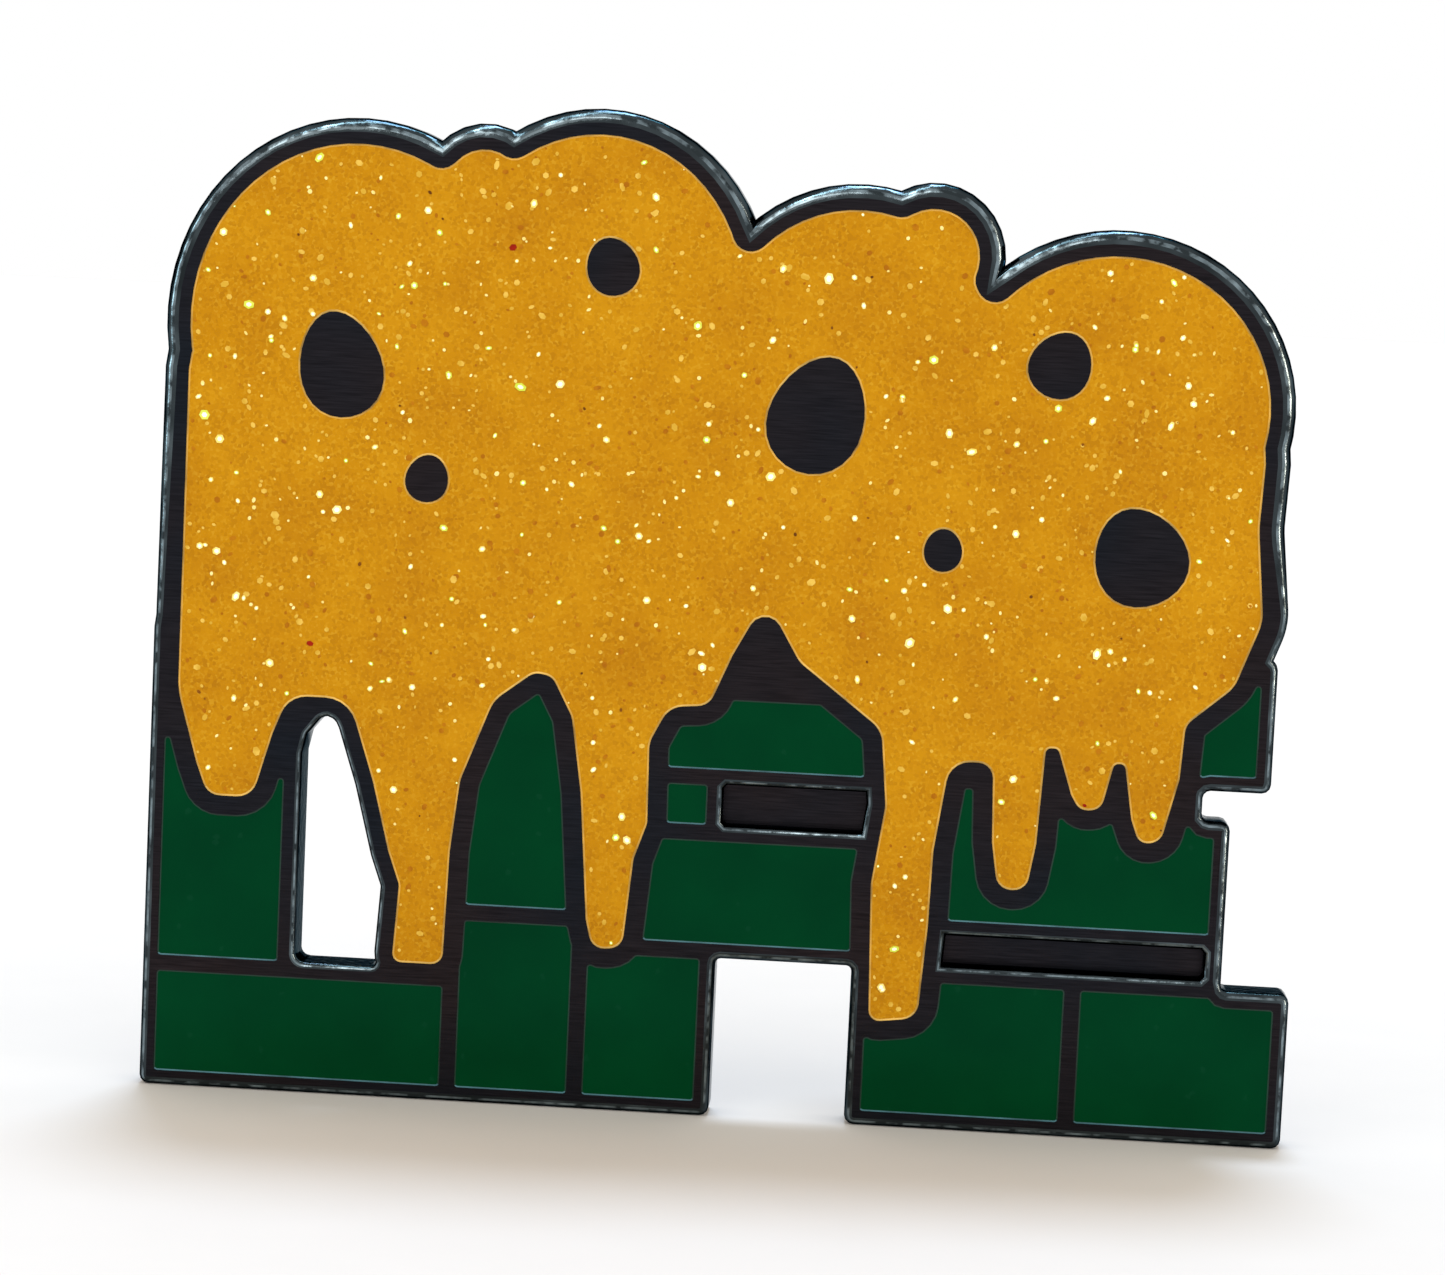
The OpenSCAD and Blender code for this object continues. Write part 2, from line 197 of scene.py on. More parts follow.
def drawn_line(points: list[Point]) -> bpy.types.Object:
    """A line through points of the XY plane, as bare edges.

    Args:
        points: the points, in order.

    Returns:
        The line.
    """
    bpy.ops.object.select_all(action="DESELECT")
    bpy.ops.mesh.primitive_plane_add(size=MM)
    piece = bpy.context.active_object
    with Bench(piece) as bench:
        bpy.ops.mesh.select_all(action="SELECT")
        bpy.ops.mesh.delete(type="VERT")
        mesh = bench.mesh()
        verts = [mesh.verts.new((x, y, 0.0)) for x, y in points]
        for first, second in zip(verts, verts[1:]):
            mesh.edges.new((first, second))
        bmesh.update_edit_mesh(piece.data)
    return piece


def turned(profile: list[Point], steps: int) -> bpy.types.Object:
    """A piece turned about the Y axis.

    Args:
        profile: its half section, as (radius, place along the axis).
        steps: how many facets the turn has.

    Returns:
        The turned piece.
    """
    piece = drawn_line(profile)
    with Bench(piece) as bench:
        bpy.ops.mesh.select_all(action="SELECT")
        bpy.ops.mesh.spin(steps=steps, angle=math.tau, center=(0.0, 0.0, 0.0), axis=(0.0, 1.0, 0.0))
        bench.close_up()
    return piece


def copied(model: bpy.types.Object, name: str, place: Matrix) -> bpy.types.Object:
    """A copy with a mesh of its own.

    Args:
        model: the piece that is copied.
        name: the copy's name.
        place: how the copy lies, worked into its mesh.

    Returns:
        The copy.
    """
    twin = model.copy()
    twin.name = name
    twin.data = model.data.copy()
    twin.data.name = name
    twin.data.transform(place)
    bpy.context.scene.collection.objects.link(twin)
    return twin


def arc(centre: Point, radius: float, start: float, end: float, steps: int) -> list[Point]:
    """Points on an arc of a section, from one angle in degrees to another."""
    turns = [math.radians(start + (end - start) * i / steps) for i in range(steps + 1)]
    return [(centre[0] + radius * math.cos(t), centre[1] + radius * math.sin(t)) for t in turns]


def fit_out(piece: bpy.types.Object, body: str, nodes: Iterable[str] = ()) -> None:
    """Hangs a piece on its body, hides the CAD nodes that it stands for and logs its face count.

    Args:
        piece: the piece.
        body: the body that it rides on.
        nodes: the CAD nodes.
    """
    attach(piece, body)
    if nodes:
        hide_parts(*nodes)
    LOG.info("%s: %d faces on %s", piece.name, len(piece.data.polygons), body)


# Finishes


def shade(tone: Colour, *shares: float) -> Colour:
    """A colour dimmed or brightened, by one share or by one for each of red, green and blue."""
    red, green, blue = shares if len(shares) == 3 else shares * 3
    return (tone[0] * red, tone[1] * green, tone[2] * blue)


class Recipe:
    """A material whose pattern lies in the piece's own coordinates, put together node by node."""

    def __init__(self, name: str) -> None:
        """Starts a material with one Principled shader."""
        self.material = bpy.data.materials.new(name)
        self.material.use_nodes = True
        self.tree = self.material.node_tree
        self.shader = self.tree.nodes["Principled BSDF"]
        self.place = self.tree.nodes.new("ShaderNodeTexCoord").outputs["Object"]

    def join(self, source: bpy.types.NodeSocket, target: bpy.types.NodeSocket) -> None:
        """Links two sockets."""
        self.tree.links.new(source, target)

    def constants(self, **values: float | tuple[float, ...]) -> None:
        """Sets the shader's own sockets, named with underscores for spaces."""
        for key, value in values.items():
            self.shader.inputs[key.replace("_", " ")].default_value = value

    def stretched(self, stretch: Colour) -> bpy.types.NodeSocket:
        """The piece's coordinates, scaled.

        Args:
            stretch: the scale on each axis.

        Returns:
            The coordinates.
        """
        node = self.tree.nodes.new("ShaderNodeMapping")
        node.inputs["Scale"].default_value = stretch
        self.join(self.place, node.inputs["Vector"])
        return node.outputs["Vector"]

    def grain(
        self, wave: float, detail: float = 3.0, stretch: Colour = (1.0, 1.0, 1.0)
    ) -> bpy.types.NodeSocket:
        """Cloudy noise.

        Args:
            wave: size of its largest clouds, in metres.
            detail: how many finer octaves it has.
            stretch: how much finer it runs on each axis.

        Returns:
            The noise, 0 to 1.
        """
        node = self.tree.nodes.new("ShaderNodeTexNoise")
        node.inputs["Scale"].default_value = 1.0 / wave
        node.inputs["Detail"].default_value = detail
        self.join(self.stretched(stretch), node.inputs["Vector"])
        return node.outputs["Fac"]

    def cells(self, width: float, output: str = "Color") -> bpy.types.NodeSocket:
        """Cells of random shape.

        Args:
            width: about how wide they are.
            output: Color for a random tone in each, or Distance for how far its middle is.

        Returns:
            The tone or the distance.
        """
        node = self.tree.nodes.new("ShaderNodeTexVoronoi")
        node.inputs["Scale"].default_value = 1.0 / width
        self.join(self.place, node.inputs["Vector"])
        return node.outputs[output]

    def ramp(
        self, source: bpy.types.NodeSocket, stops: list[tuple[float, Colour]], stepped: bool = False
    ) -> bpy.types.NodeSocket:
        """Colours along a value.

        Args:
            source: the value, 0 to 1.
            stops: each place with its colour.
            stepped: whether the colours change without a blend.

        Returns:
            The colour.
        """
        node = self.tree.nodes.new("ShaderNodeValToRGB")
        node.color_ramp.interpolation = "CONSTANT" if stepped else "LINEAR"
        points = node.color_ramp.elements
        while len(points) < len(stops):
            points.new(0.5)
        for point, (at, _) in zip(points, stops):
            point.position = at
        for point, (_, colour) in zip(points, stops):
            point.color = (*colour, 1.0)
        self.join(source, node.inputs["Fac"])
        return node.outputs["Color"]

    def blend(
        self, factor: bpy.types.NodeSocket, first: bpy.types.NodeSocket, second: bpy.types.NodeSocket
    ) -> bpy.types.NodeSocket:
        """Mixes two colours.

        Args:
            factor: 0 for the first, 1 for the second.
            first: a colour.
            second: a colour.

        Returns:
            The mixed colour.
        """
        node = self.tree.nodes.new("ShaderNodeMix")
        node.data_type = "RGBA"
        self.join(factor, node.inputs["Factor"])
        self.join(first, node.inputs[6])
        self.join(second, node.inputs[7])
        return node.outputs[2]

    def level(self, source: bpy.types.NodeSocket, low: float, high: float) -> bpy.types.NodeSocket:
        """Carries a value from one range to another.

        Args:
            source: the value, 0 to 1.
            low: what 0 becomes.
            high: what 1 becomes.

        Returns:
            The new value.
        """
        node = self.tree.nodes.new("ShaderNodeMapRange")
        node.inputs["To Min"].default_value = low
        node.inputs["To Max"].default_value = high
        self.join(source, node.inputs["Value"])
        return node.outputs["Result"]

    def bump(self, height: bpy.types.NodeSocket, depth: float, strength: float = 1.0) -> None:
        """Presses a pattern into the surface, over any pattern pressed before it.

        Args:
            height: the pattern, 0 to 1.
            depth: how far apart its lowest and highest parts are.
            strength: how much of it shows.
        """
        node = self.tree.nodes.new("ShaderNodeBump")
        node.inputs["Distance"].default_value = depth
        node.inputs["Strength"].default_value = strength
        self.join(height, node.inputs["Height"])
        earlier = self.shader.inputs["Normal"].links
        if earlier:
            self.join(earlier[0].from_socket, node.inputs["Normal"])
        self.join(node.outputs["Normal"], self.shader.inputs["Normal"])

    def colour(self, source: bpy.types.NodeSocket) -> None:
        """Drives the base colour."""
        self.join(source, self.shader.inputs["Base Color"])

    def tones(self, source: bpy.types.NodeSocket, *stops: tuple[float, Colour]) -> None:
        """Drives the base colour along a value."""
        self.colour(self.ramp(source, list(stops)))

    def roughness(self, source: bpy.types.NodeSocket) -> None:
        """Drives the roughness."""
        self.join(source, self.shader.inputs["Roughness"])


class NickelWork(Enum):
    """How a black nickel surface was worked."""

    BRUSHED = "brushed"
    POLISHED = "polished"
    # A brighter strip on the rim's round: worn plating and a painted highlight line.
    WORN = "worn"
    STIPPLED = "stippled"


@dataclass(frozen=True)
class BlackNickel:
    """Black nickel plating over struck iron.

    Attributes:
        work: how the surface was worked.
        tone: its reflection at right angles.
        rough: the range of its roughness.
    """

    work: NickelWork
    tone: Colour
    rough: tuple[float, float]

    def make(self) -> bpy.types.Material:
        """Makes the material.

        Returns:
            The material.
        """
        recipe = Recipe(f"black_nickel_{self.work.value}")
        recipe.constants(Metallic=1.0, Specular_Tint=(0.12, 0.16, 0.18, 1.0))
        work = {
            NickelWork.BRUSHED: self.brush,
            NickelWork.POLISHED: self.polish,
            NickelWork.WORN: self.wear_and_highlight,
            NickelWork.STIPPLED: self.stipple,
        }
        work[self.work](recipe)
        return recipe.material

    def brush(self, recipe: Recipe) -> None:
        """Long fine strokes across the face, which drifts from a brownish to a bluish black.

        Args:
            recipe: the material that is made.
        """
        streaks = recipe.grain(1.1 * MM, 5.0, (1.0, 18.0, 22.0))
        drift = recipe.grain(7.0 * MM, 2.0)
        cool = (shade(self.tone, 0.45, 0.72, 0.9), shade(self.tone, 0.85, 1.35, 1.7))
        warm = (shade(self.tone, 0.7), shade(self.tone, 1.6))
        tones = [recipe.ramp(streaks, [(0.28, dim), (0.76, bright)]) for dim, bright in (warm, cool)]
        recipe.colour(recipe.blend(recipe.level(drift, -0.9, 1.9), *tones))
        recipe.roughness(recipe.level(streaks, self.rough[1], self.rough[0]))
        recipe.bump(streaks, 0.004 * MM)

    def polish(self, recipe: Recipe) -> None:
        """A tumbled shine with small dents.

        Args:
            recipe: the material that is made.
        """
        specks = recipe.grain(0.22 * MM, 3.0)
        clouds = recipe.grain(1.6 * MM, 2.0)
        recipe.tones(clouds, (0.3, shade(self.tone, 0.45)), (0.55, self.tone), (0.85, shade(self.tone, 2.6)))
        recipe.roughness(recipe.level(specks, self.rough[0], self.rough[1]))
        recipe.bump(specks, 0.012 * MM, 0.8)

    def wear_and_highlight(self, recipe: Recipe) -> None:
        """The broken bright line along an edge: plating thinned by handling, and a painted highlight that
        stands in for the light caught along the round.

        Args:
            recipe: the material that is made.
        """
        patches = recipe.grain(0.5 * MM, 4.0)
        # Painted highlight: the bright patches stand in for broken glints along the round, over the tone of
        # thinned plating.
        dim, bright = shade(self.tone, 0.22), shade(self.tone, 1.7)
        recipe.tones(patches, (0.42, dim), (0.52, self.tone), (0.7, bright))
        recipe.roughness(recipe.level(patches, self.rough[1], self.rough[0]))
        recipe.bump(recipe.grain(0.16 * MM, 3.0), 0.01 * MM, 0.8)

    def stipple(self, recipe: Recipe) -> None:
        """Pressed dimples, as on the back of a struck pin.

        Args:
            recipe: the material that is made.
        """
        dimples = recipe.cells(0.34 * MM, "Distance")
        clouds = recipe.grain(1.6 * MM, 2.0)
        recipe.tones(clouds, (0.3, shade(self.tone, 0.8)), (0.5, self.tone), (0.7, shade(self.tone, 1.25)))
        recipe.roughness(recipe.level(dimples, self.rough[0], self.rough[1]))
        recipe.bump(dimples, 0.07 * MM)
        recipe.bump(recipe.grain(0.12 * MM, 3.0), 0.01 * MM)


@dataclass(frozen=True)
class GoldGround:
    """Opaque amber enamel full of fine glitter.

    Attributes:
        tone: its colour.
        flake: width of the fine glitter's flakes.
        shine: its specular level.
        sparks: the fine glitter's colours, each from a share of the flakes upwards.
    """

    tone: Colour = (0.47, 0.2, 0.0015)
    flake: float = 0.1 * MM
    shine: float = 0.07
    sparks: tuple[tuple[float, Colour], ...] = (
        (0.0, (0.3, 0.11, 0.0015)),
        (0.3, (0.42, 0.17, 0.0015)),
        (0.42, (0.47, 0.2, 0.002)),
        (0.66, (0.53, 0.25, 0.006)),
        (0.78, (0.6, 0.33, 0.02)),
    )

    def make(self) -> bpy.types.Material:
        """Makes the material.

        Returns:
            The material.
        """
        recipe = Recipe("gold_glitter_ground")
        recipe.constants(Specular_IOR_Level=self.shine)
        deep, light = shade(self.tone, 0.88, 0.82, 1.0), shade(self.tone, 1.12, 1.2, 2.0)
        clouds = recipe.ramp(recipe.grain(2.4 * MM, 4.0), [(0.3, deep), (0.5, self.tone), (0.75, light)])
        flakes = recipe.cells(self.flake)
        sparks = recipe.ramp(flakes, list(self.sparks), stepped=True)
        mask = recipe.ramp(recipe.grain(0.7 * MM, 2.0), [(0.3, (0.14,) * 3), (0.7, (0.42,) * 3)])
        recipe.colour(recipe.blend(mask, clouds, sparks))
        recipe.roughness(recipe.level(flakes, 0.16, 0.34))
        recipe.bump(flakes, 0.003 * MM, 0.5)
        return recipe.material


@dataclass(frozen=True)
class GreenEnamel:
    """Glossy dark green enamel, polished flat.

    Attributes:
        tone: its colour.
        shine: its specular level.
    """

    tone: Colour = (0.0002, 0.032, 0.0075)
    shine: float = 0.09

    def make(self) -> bpy.types.Material:
        """Makes the material.

        Returns:
            The material.
        """
        recipe = Recipe("dark_green_gloss")
        recipe.constants(Specular_IOR_Level=self.shine, Specular_Tint=(0.15, 0.8, 0.8, 1.0))
        deep, light = shade(self.tone, 0.86), shade(self.tone, 1.16)
        clouds = recipe.ramp(recipe.grain(3.0 * MM, 5.0), [(0.3, deep), (0.52, self.tone), (0.75, light)])
        dust = recipe.ramp(recipe.cells(0.16 * MM), [(0.0, (0.0,) * 3), (0.93, (0.1,) * 3)], stepped=True)
        pale = recipe.ramp(recipe.grain(0.3 * MM), [(0.0, (0.01, 0.06, 0.03)), (1.0, (0.02, 0.09, 0.05))])
        recipe.colour(recipe.blend(dust, clouds, pale))
        recipe.roughness(recipe.level(recipe.grain(1.1 * MM, 4.0), 0.1, 0.2))
        recipe.bump(recipe.grain(2.2 * MM, 2.0), 0.006 * MM)
        return recipe.material


@dataclass(frozen=True)
class EnamelBrimHighlight:
    """A thin line of painted highlight where an enamel climbs its metal wall, made as a lit copy for walls
    that face down and a dimmer, shaded copy for the rest.

    Attributes:
        name: the finish's name.
        tone: its middle colour.
    """

    name: str
    tone: Colour

    def make(self) -> bpy.types.Material:
        """Makes the material.

        Returns:
            The material.
        """
        recipe = Recipe(self.name)
        recipe.constants(Specular_IOR_Level=0.3)
        patches = recipe.grain(0.9 * MM, 4.0)
        recipe.tones(patches, (0.3, shade(self.tone, 0.55)), (0.5, self.tone), (0.72, shade(self.tone, 1.4)))
        recipe.roughness(recipe.level(patches, 0.3, 0.12))
        recipe.bump(recipe.grain(0.2 * MM), 0.004 * MM)
        return recipe.material


@dataclass(frozen=True)
class Flake:
    """One kind of glitter flake.

    Attributes:
        name: the finish's name.
        tones: the two colours between which its flakes vary.
        count: how many there are.
        width: the least and greatest distance across.
        painted_glint: share of its width covered by a near-white middle, a painted glint.
    """

    name: str
    tones: tuple[Colour, Colour]
    count: int
    width: tuple[float, float]
    painted_glint: float = 0.0

    def make(self) -> bpy.types.Material:
        """Makes the material.

        Returns:
            The material.
        """
        recipe = Recipe(self.name)
        recipe.constants(Specular_IOR_Level=0.5 if self.painted_glint else 0.08)
        mixed = recipe.grain(0.35 * MM, 1.0)
        recipe.tones(mixed, (0.38, self.tones[0]), (0.62, self.tones[1]))
        recipe.roughness(recipe.level(mixed, 0.15, 0.4))
        return recipe.material


@dataclass(frozen=True)
class BareMetal:
    """A plated or drawn metal.

    Attributes:
        name: the finish's name.
        tone: its reflection at right angles.
        rough: the range of its roughness.
        stretch: how much finer its working marks run on each axis.
        pits: depth of its unevenness.
    """

    name: str
    tone: Colour
    rough: tuple[float, float]
    stretch: Colour = (1.0, 1.0, 1.0)
    pits: float = 0.003 * MM

    def make(self) -> bpy.types.Material:
        """Makes the material.

        Returns:
            The material.
        """
        recipe = Recipe(self.name)
        recipe.constants(Metallic=1.0)
        tarnish = recipe.grain(1.7 * MM, 5.0)
        marks = recipe.grain(0.5 * MM, 4.0, self.stretch)
        dim = shade(self.tone, 0.72, 0.66, 0.55)
        recipe.tones(tarnish, (0.22, dim), (0.46, self.tone), (0.75, shade(self.tone, 1.12)))
        recipe.roughness(recipe.level(marks, self.rough[0], self.rough[1]))
        recipe.bump(marks, self.pits)
        recipe.bump(tarnish, 2.0 * self.pits, 0.5)
        return recipe.material


@dataclass(frozen=True)
class StudioPaper:
    """The pale paper that the pin stands on.

    Attributes:
        tone: its colour.
        glow: how much light comes through it from below.
    """

    tone: Colour = (0.74, 0.68, 0.6)
    glow: float = 0.02

    def make(self) -> bpy.types.Material:
        """Makes the material.

        Returns:
            The material.
        """
        recipe = Recipe("pale_paper")
        recipe.constants(Specular_IOR_Level=0.1, Emission_Strength=self.glow)
        recipe.tones(recipe.grain(4 * MM, 3.0), (0.3, shade(self.tone, 0.985)), (0.7, self.tone))
        recipe.roughness(recipe.level(recipe.grain(1 * MM, 2.0), 0.75, 0.9))
        return recipe.material


# The pin's front


@dataclass
class StruckPlate:
    """The struck plate, with its rim rounded over and its face brushed.

    Attributes:
        front: where the raised metal's face lies.
        rim: width of the round along the wall's cut edge.
        gold_rim: width of the round along the gold's cut edge.
        left_taper: heights between which the left edge goes from the one width to the other.
        right_taper: the same on the right edge.
        step: longest stretch of edge with one width.
        crumb: edges shorter than this are closed up.
        opening_rim: width of the round along the window.
        back_rim: width of the round along the back edge.
        recess_rim: width of the round along the two bare recesses.
        recess_floor: where the recesses' floors lie.
        window: the window's box as (left, bottom, right, top).
        post_x: distance of a post from the middle.
        seat_r: radius round a post in which the back is left alone.
        tall: the least height of the plate's cut sides.
        worn: the band of normals, by how much lies along Y, whose faces on the rim's round get a brighter
            strip: thinned plating and a painted highlight line.
    """

    front: float = -1.6 * MM
    rim: float = 0.26 * MM
    gold_rim: float = 0.46 * MM
    left_taper: tuple[float, float] = (-4.1 * MM, 3.8 * MM)
    right_taper: tuple[float, float] = (-2.1 * MM, 0.2 * MM)
    step: float = 0.3 * MM
    crumb: float = 0.06 * MM
    opening_rim: float = 0.18 * MM
    back_rim: float = 0.12 * MM
    recess_rim: float = 0.2 * MM
    recess_floor: float = -0.85 * MM
    window: tuple[float, float, float, float] = (-14.3 * MM, -15.9 * MM, -9.7 * MM, -5.0 * MM)
    post_x: float = 9.5 * MM
    seat_r: float = 2.2 * MM
    tall: float = 1.0 * MM
    worn: tuple[float, float] = (-0.94, -0.84)

    def in_window(self, point: Vector) -> bool:
        """Whether a point lies on the window's edge."""
        left, bottom, right, top = self.window
        return left < point.x < right and bottom < point.z < top

    def through_edge(self, edge: bmesh.types.BMEdge, level: float) -> bool:
        """Whether an edge joins a flat face at a level to a wall as tall as the plate.

        Args:
            edge: the edge that is tested.
            level: where the flat face lies.

        Returns:
            True if the wall beside the edge is one of the plate's cut sides.
        """
        if len(edge.link_faces) != 2 or any(abs(v.co.y - level) > MERGE_GAP for v in edge.verts):
            return False
        walls = [face for face in edge.link_faces if abs(face.normal.y) < UPRIGHT]
        heights = [[v.co.y for v in face.verts] for face in walls]
        return len(walls) == 1 and max(heights[0]) - min(heights[0]) > self.tall

    def recess_edge(self, edge: bmesh.types.BMEdge) -> bool:
        """Whether an edge joins the raised face to the wall of a bare recess.

        Args:
            edge: the edge that is tested.

        Returns:
            True if the wall beside the edge ends at a recess's floor.
        """
        if len(edge.link_faces) != 2 or any(abs(v.co.y - self.front) > MERGE_GAP for v in edge.verts):
            return False
        walls = [face for face in edge.link_faces if abs(face.normal.y) < UPRIGHT]
        lows = [max(v.co.y for v in face.verts) for face in walls]
        return len(walls) == 1 and abs(lows[0] - self.recess_floor) < 10 * MERGE_GAP

    def on_seat(self, point: Vector) -> bool:
        """Whether a point of the back belongs to a post's seat."""
        return any(math.hypot(point.x - x, point.z) < self.seat_r for x in (-self.post_x, self.post_x))

    def build(self, frame: dict) -> bpy.types.Object:
        """Copies the node, closes up tiny edges of its outline and rounds its edges.

        Returns:
            The finished plate.
        """
        piece = copy_of_node(frame, "struck_plate", "black_nickel_plate")
        with Bench(piece) as bench:
            bench.pick("EDGE", self.on_outline)
            bpy.ops.mesh.remove_doubles(threshold=self.crumb)
            mesh = bench.mesh()
            for edge in [edge for edge in mesh.edges if self.tapers(edge)]:
                for left in range(math.ceil(edge.calc_length() / self.step), 1, -1):
                    bmesh.utils.edge_split(edge, edge.verts[0], 1.0 / left)
            weights = mesh.edges.layers.float.new("bevel_weight_edge")
            for edge in mesh.edges:
                edge[weights] = self.round_of(edge) / self.gold_rim
            bmesh.update_edit_mesh(piece.data)
        apply_modifier(
            piece, "BEVEL", width=self.gold_rim, segments=5, limit_method="WEIGHT", use_clamp_overlap=False
        )
        return piece

    def on_outline(self, edge: bmesh.types.BMEdge) -> bool:
        """Whether an edge is part of the plate's cut outline, in front or behind."""
        return self.through_edge(edge, self.front) or self.through_edge(edge, 0.0)

    def tapers(self, edge: bmesh.types.BMEdge) -> bool:
        """Whether an edge lies where the round changes its width.

        Args:
            edge: the edge that is tested.

        Returns:
            True if it does.
        """
        middle = (edge.verts[0].co + edge.verts[1].co) / 2
        low, high = self.left_taper if middle.x < 0 else self.right_taper
        return self.through_edge(edge, self.front) and low < middle.z < high and not self.in_window(middle)

    def round_of(self, edge: bmesh.types.BMEdge) -> float:
        """Width of the round along an edge of the plate.

        Args:
            edge: the edge that is asked about.

        Returns:
            The width, or 0 for an edge that stays sharp.
        """
        middle = (edge.verts[0].co + edge.verts[1].co) / 2
        if self.through_edge(edge, 0.0):
            return 0.0 if self.on_seat(middle) else self.back_rim
        if self.through_edge(edge, self.front):
            low, high = self.left_taper if middle.x < 0 else self.right_taper
            share = min(1.0, max(0.0, (middle.z - low) / (high - low)))
            outer = self.rim + (self.gold_rim - self.rim) * share
            return self.opening_rim if self.in_window(middle) else outer
        return self.recess_rim if self.recess_edge(edge) else 0.0

    def dress(self, piece: bpy.types.Object) -> None:
        """Gives each face the finish of its place.

        Args:
            piece: the plate.
        """
        brushed = BlackNickel(NickelWork.BRUSHED, (0.0165, 0.0125, 0.0135), (0.26, 0.42))
        polished = BlackNickel(NickelWork.POLISHED, (0.042, 0.053, 0.058), (0.07, 0.17))
        stippled = BlackNickel(NickelWork.STIPPLED, (0.05, 0.05, 0.053), (0.3, 0.5))
        # Painted highlight: a brighter strip on the round at one angle all round the plate, partly plating
        # worn thin.
        worn = BlackNickel(NickelWork.WORN, (0.13, 0.165, 0.18), (0.1, 0.26))
        for finish in (brushed, polished, stippled, worn):
            piece.data.materials.append(finish.make())
        for face in piece.data.polygons:
            if face.normal.y < -FLAT:
                face.material_index = 0
            elif face.normal.y > FLAT and face.center.y > -MERGE_GAP:
                face.material_index = 2
            else:
                # Faces of the round at one angle get the brighter strip, a painted highlight line.
                face.material_index = 3 if self.worn[0] < face.normal.y < self.worn[1] else 1
        smooth_shading(piece, 30.0)
        fit_out(piece, "pin", ["struck_plate"])


@dataclass
class EnamelFill:
    """One polished fill with a brim of painted highlight.

    Attributes:
        node: the CAD node that it stands for.
        slot: the name of its material slot, not used.
        top: where its polished face lies.
        brim: width of its brim.
        downward: a wall whose normal's Z is under this looks down, and its brim gets the lit copy of the
            painted highlight.
    """

    node: str
    slot: str
    top: float = -1.57 * MM
    brim: float = 0.05 * MM
    downward: float = -0.6

    def build(self, frame: dict) -> bpy.types.Object:
        """Copies the node and insets its face, so that the brim is a ring of its own.


        Returns:
            The fill.
        """
        piece = copy_of_node(frame, self.node, self.node.replace("_enamel", "_fill"), whole=False)
        with Bench(piece) as bench:
            bench.pick("FACE", self.on_top)
            bpy.ops.mesh.inset(thickness=self.brim, depth=0.0, use_boundary=True, use_even_offset=True)
            for face in bench.mesh().faces:
                # Slot 1 is the brim's lit copy of the painted highlight, on walls that face down; slot 2 is
                # its shaded copy.
                face.material_index = 0 if face.select else (1 if self.on_lit_low_edge(face) else 2)
            bmesh.update_edit_mesh(piece.data)
        return piece

    def on_lit_low_edge(self, face: bmesh.types.BMFace) -> bool:
        """Whether a face of the brim lies along a wall that looks down, where it gets the lit copy of the
        painted highlight.
        """
        return any(other.normal.z < self.downward for edge in face.edges for other in edge.link_faces)

    def on_top(self, face: bmesh.types.BMFace) -> bool:
        """Whether a face belongs to the polished face."""
        return face.normal.y < -FLAT and abs(face.calc_center_median().y - self.top) < MERGE_GAP

    def dress(self, piece: bpy.types.Object, *finishes: bpy.types.Material) -> None:
        """Gives the fill its finishes.

        Args:
            piece: the fill.
            finishes: the ground's, the lower brim's lit copy of the painted highlight and the rest of the
                brim's shaded copy.
        """
        for finish in finishes:
            piece.data.materials.append(finish)
        fit_out(piece, "pin", [self.node])


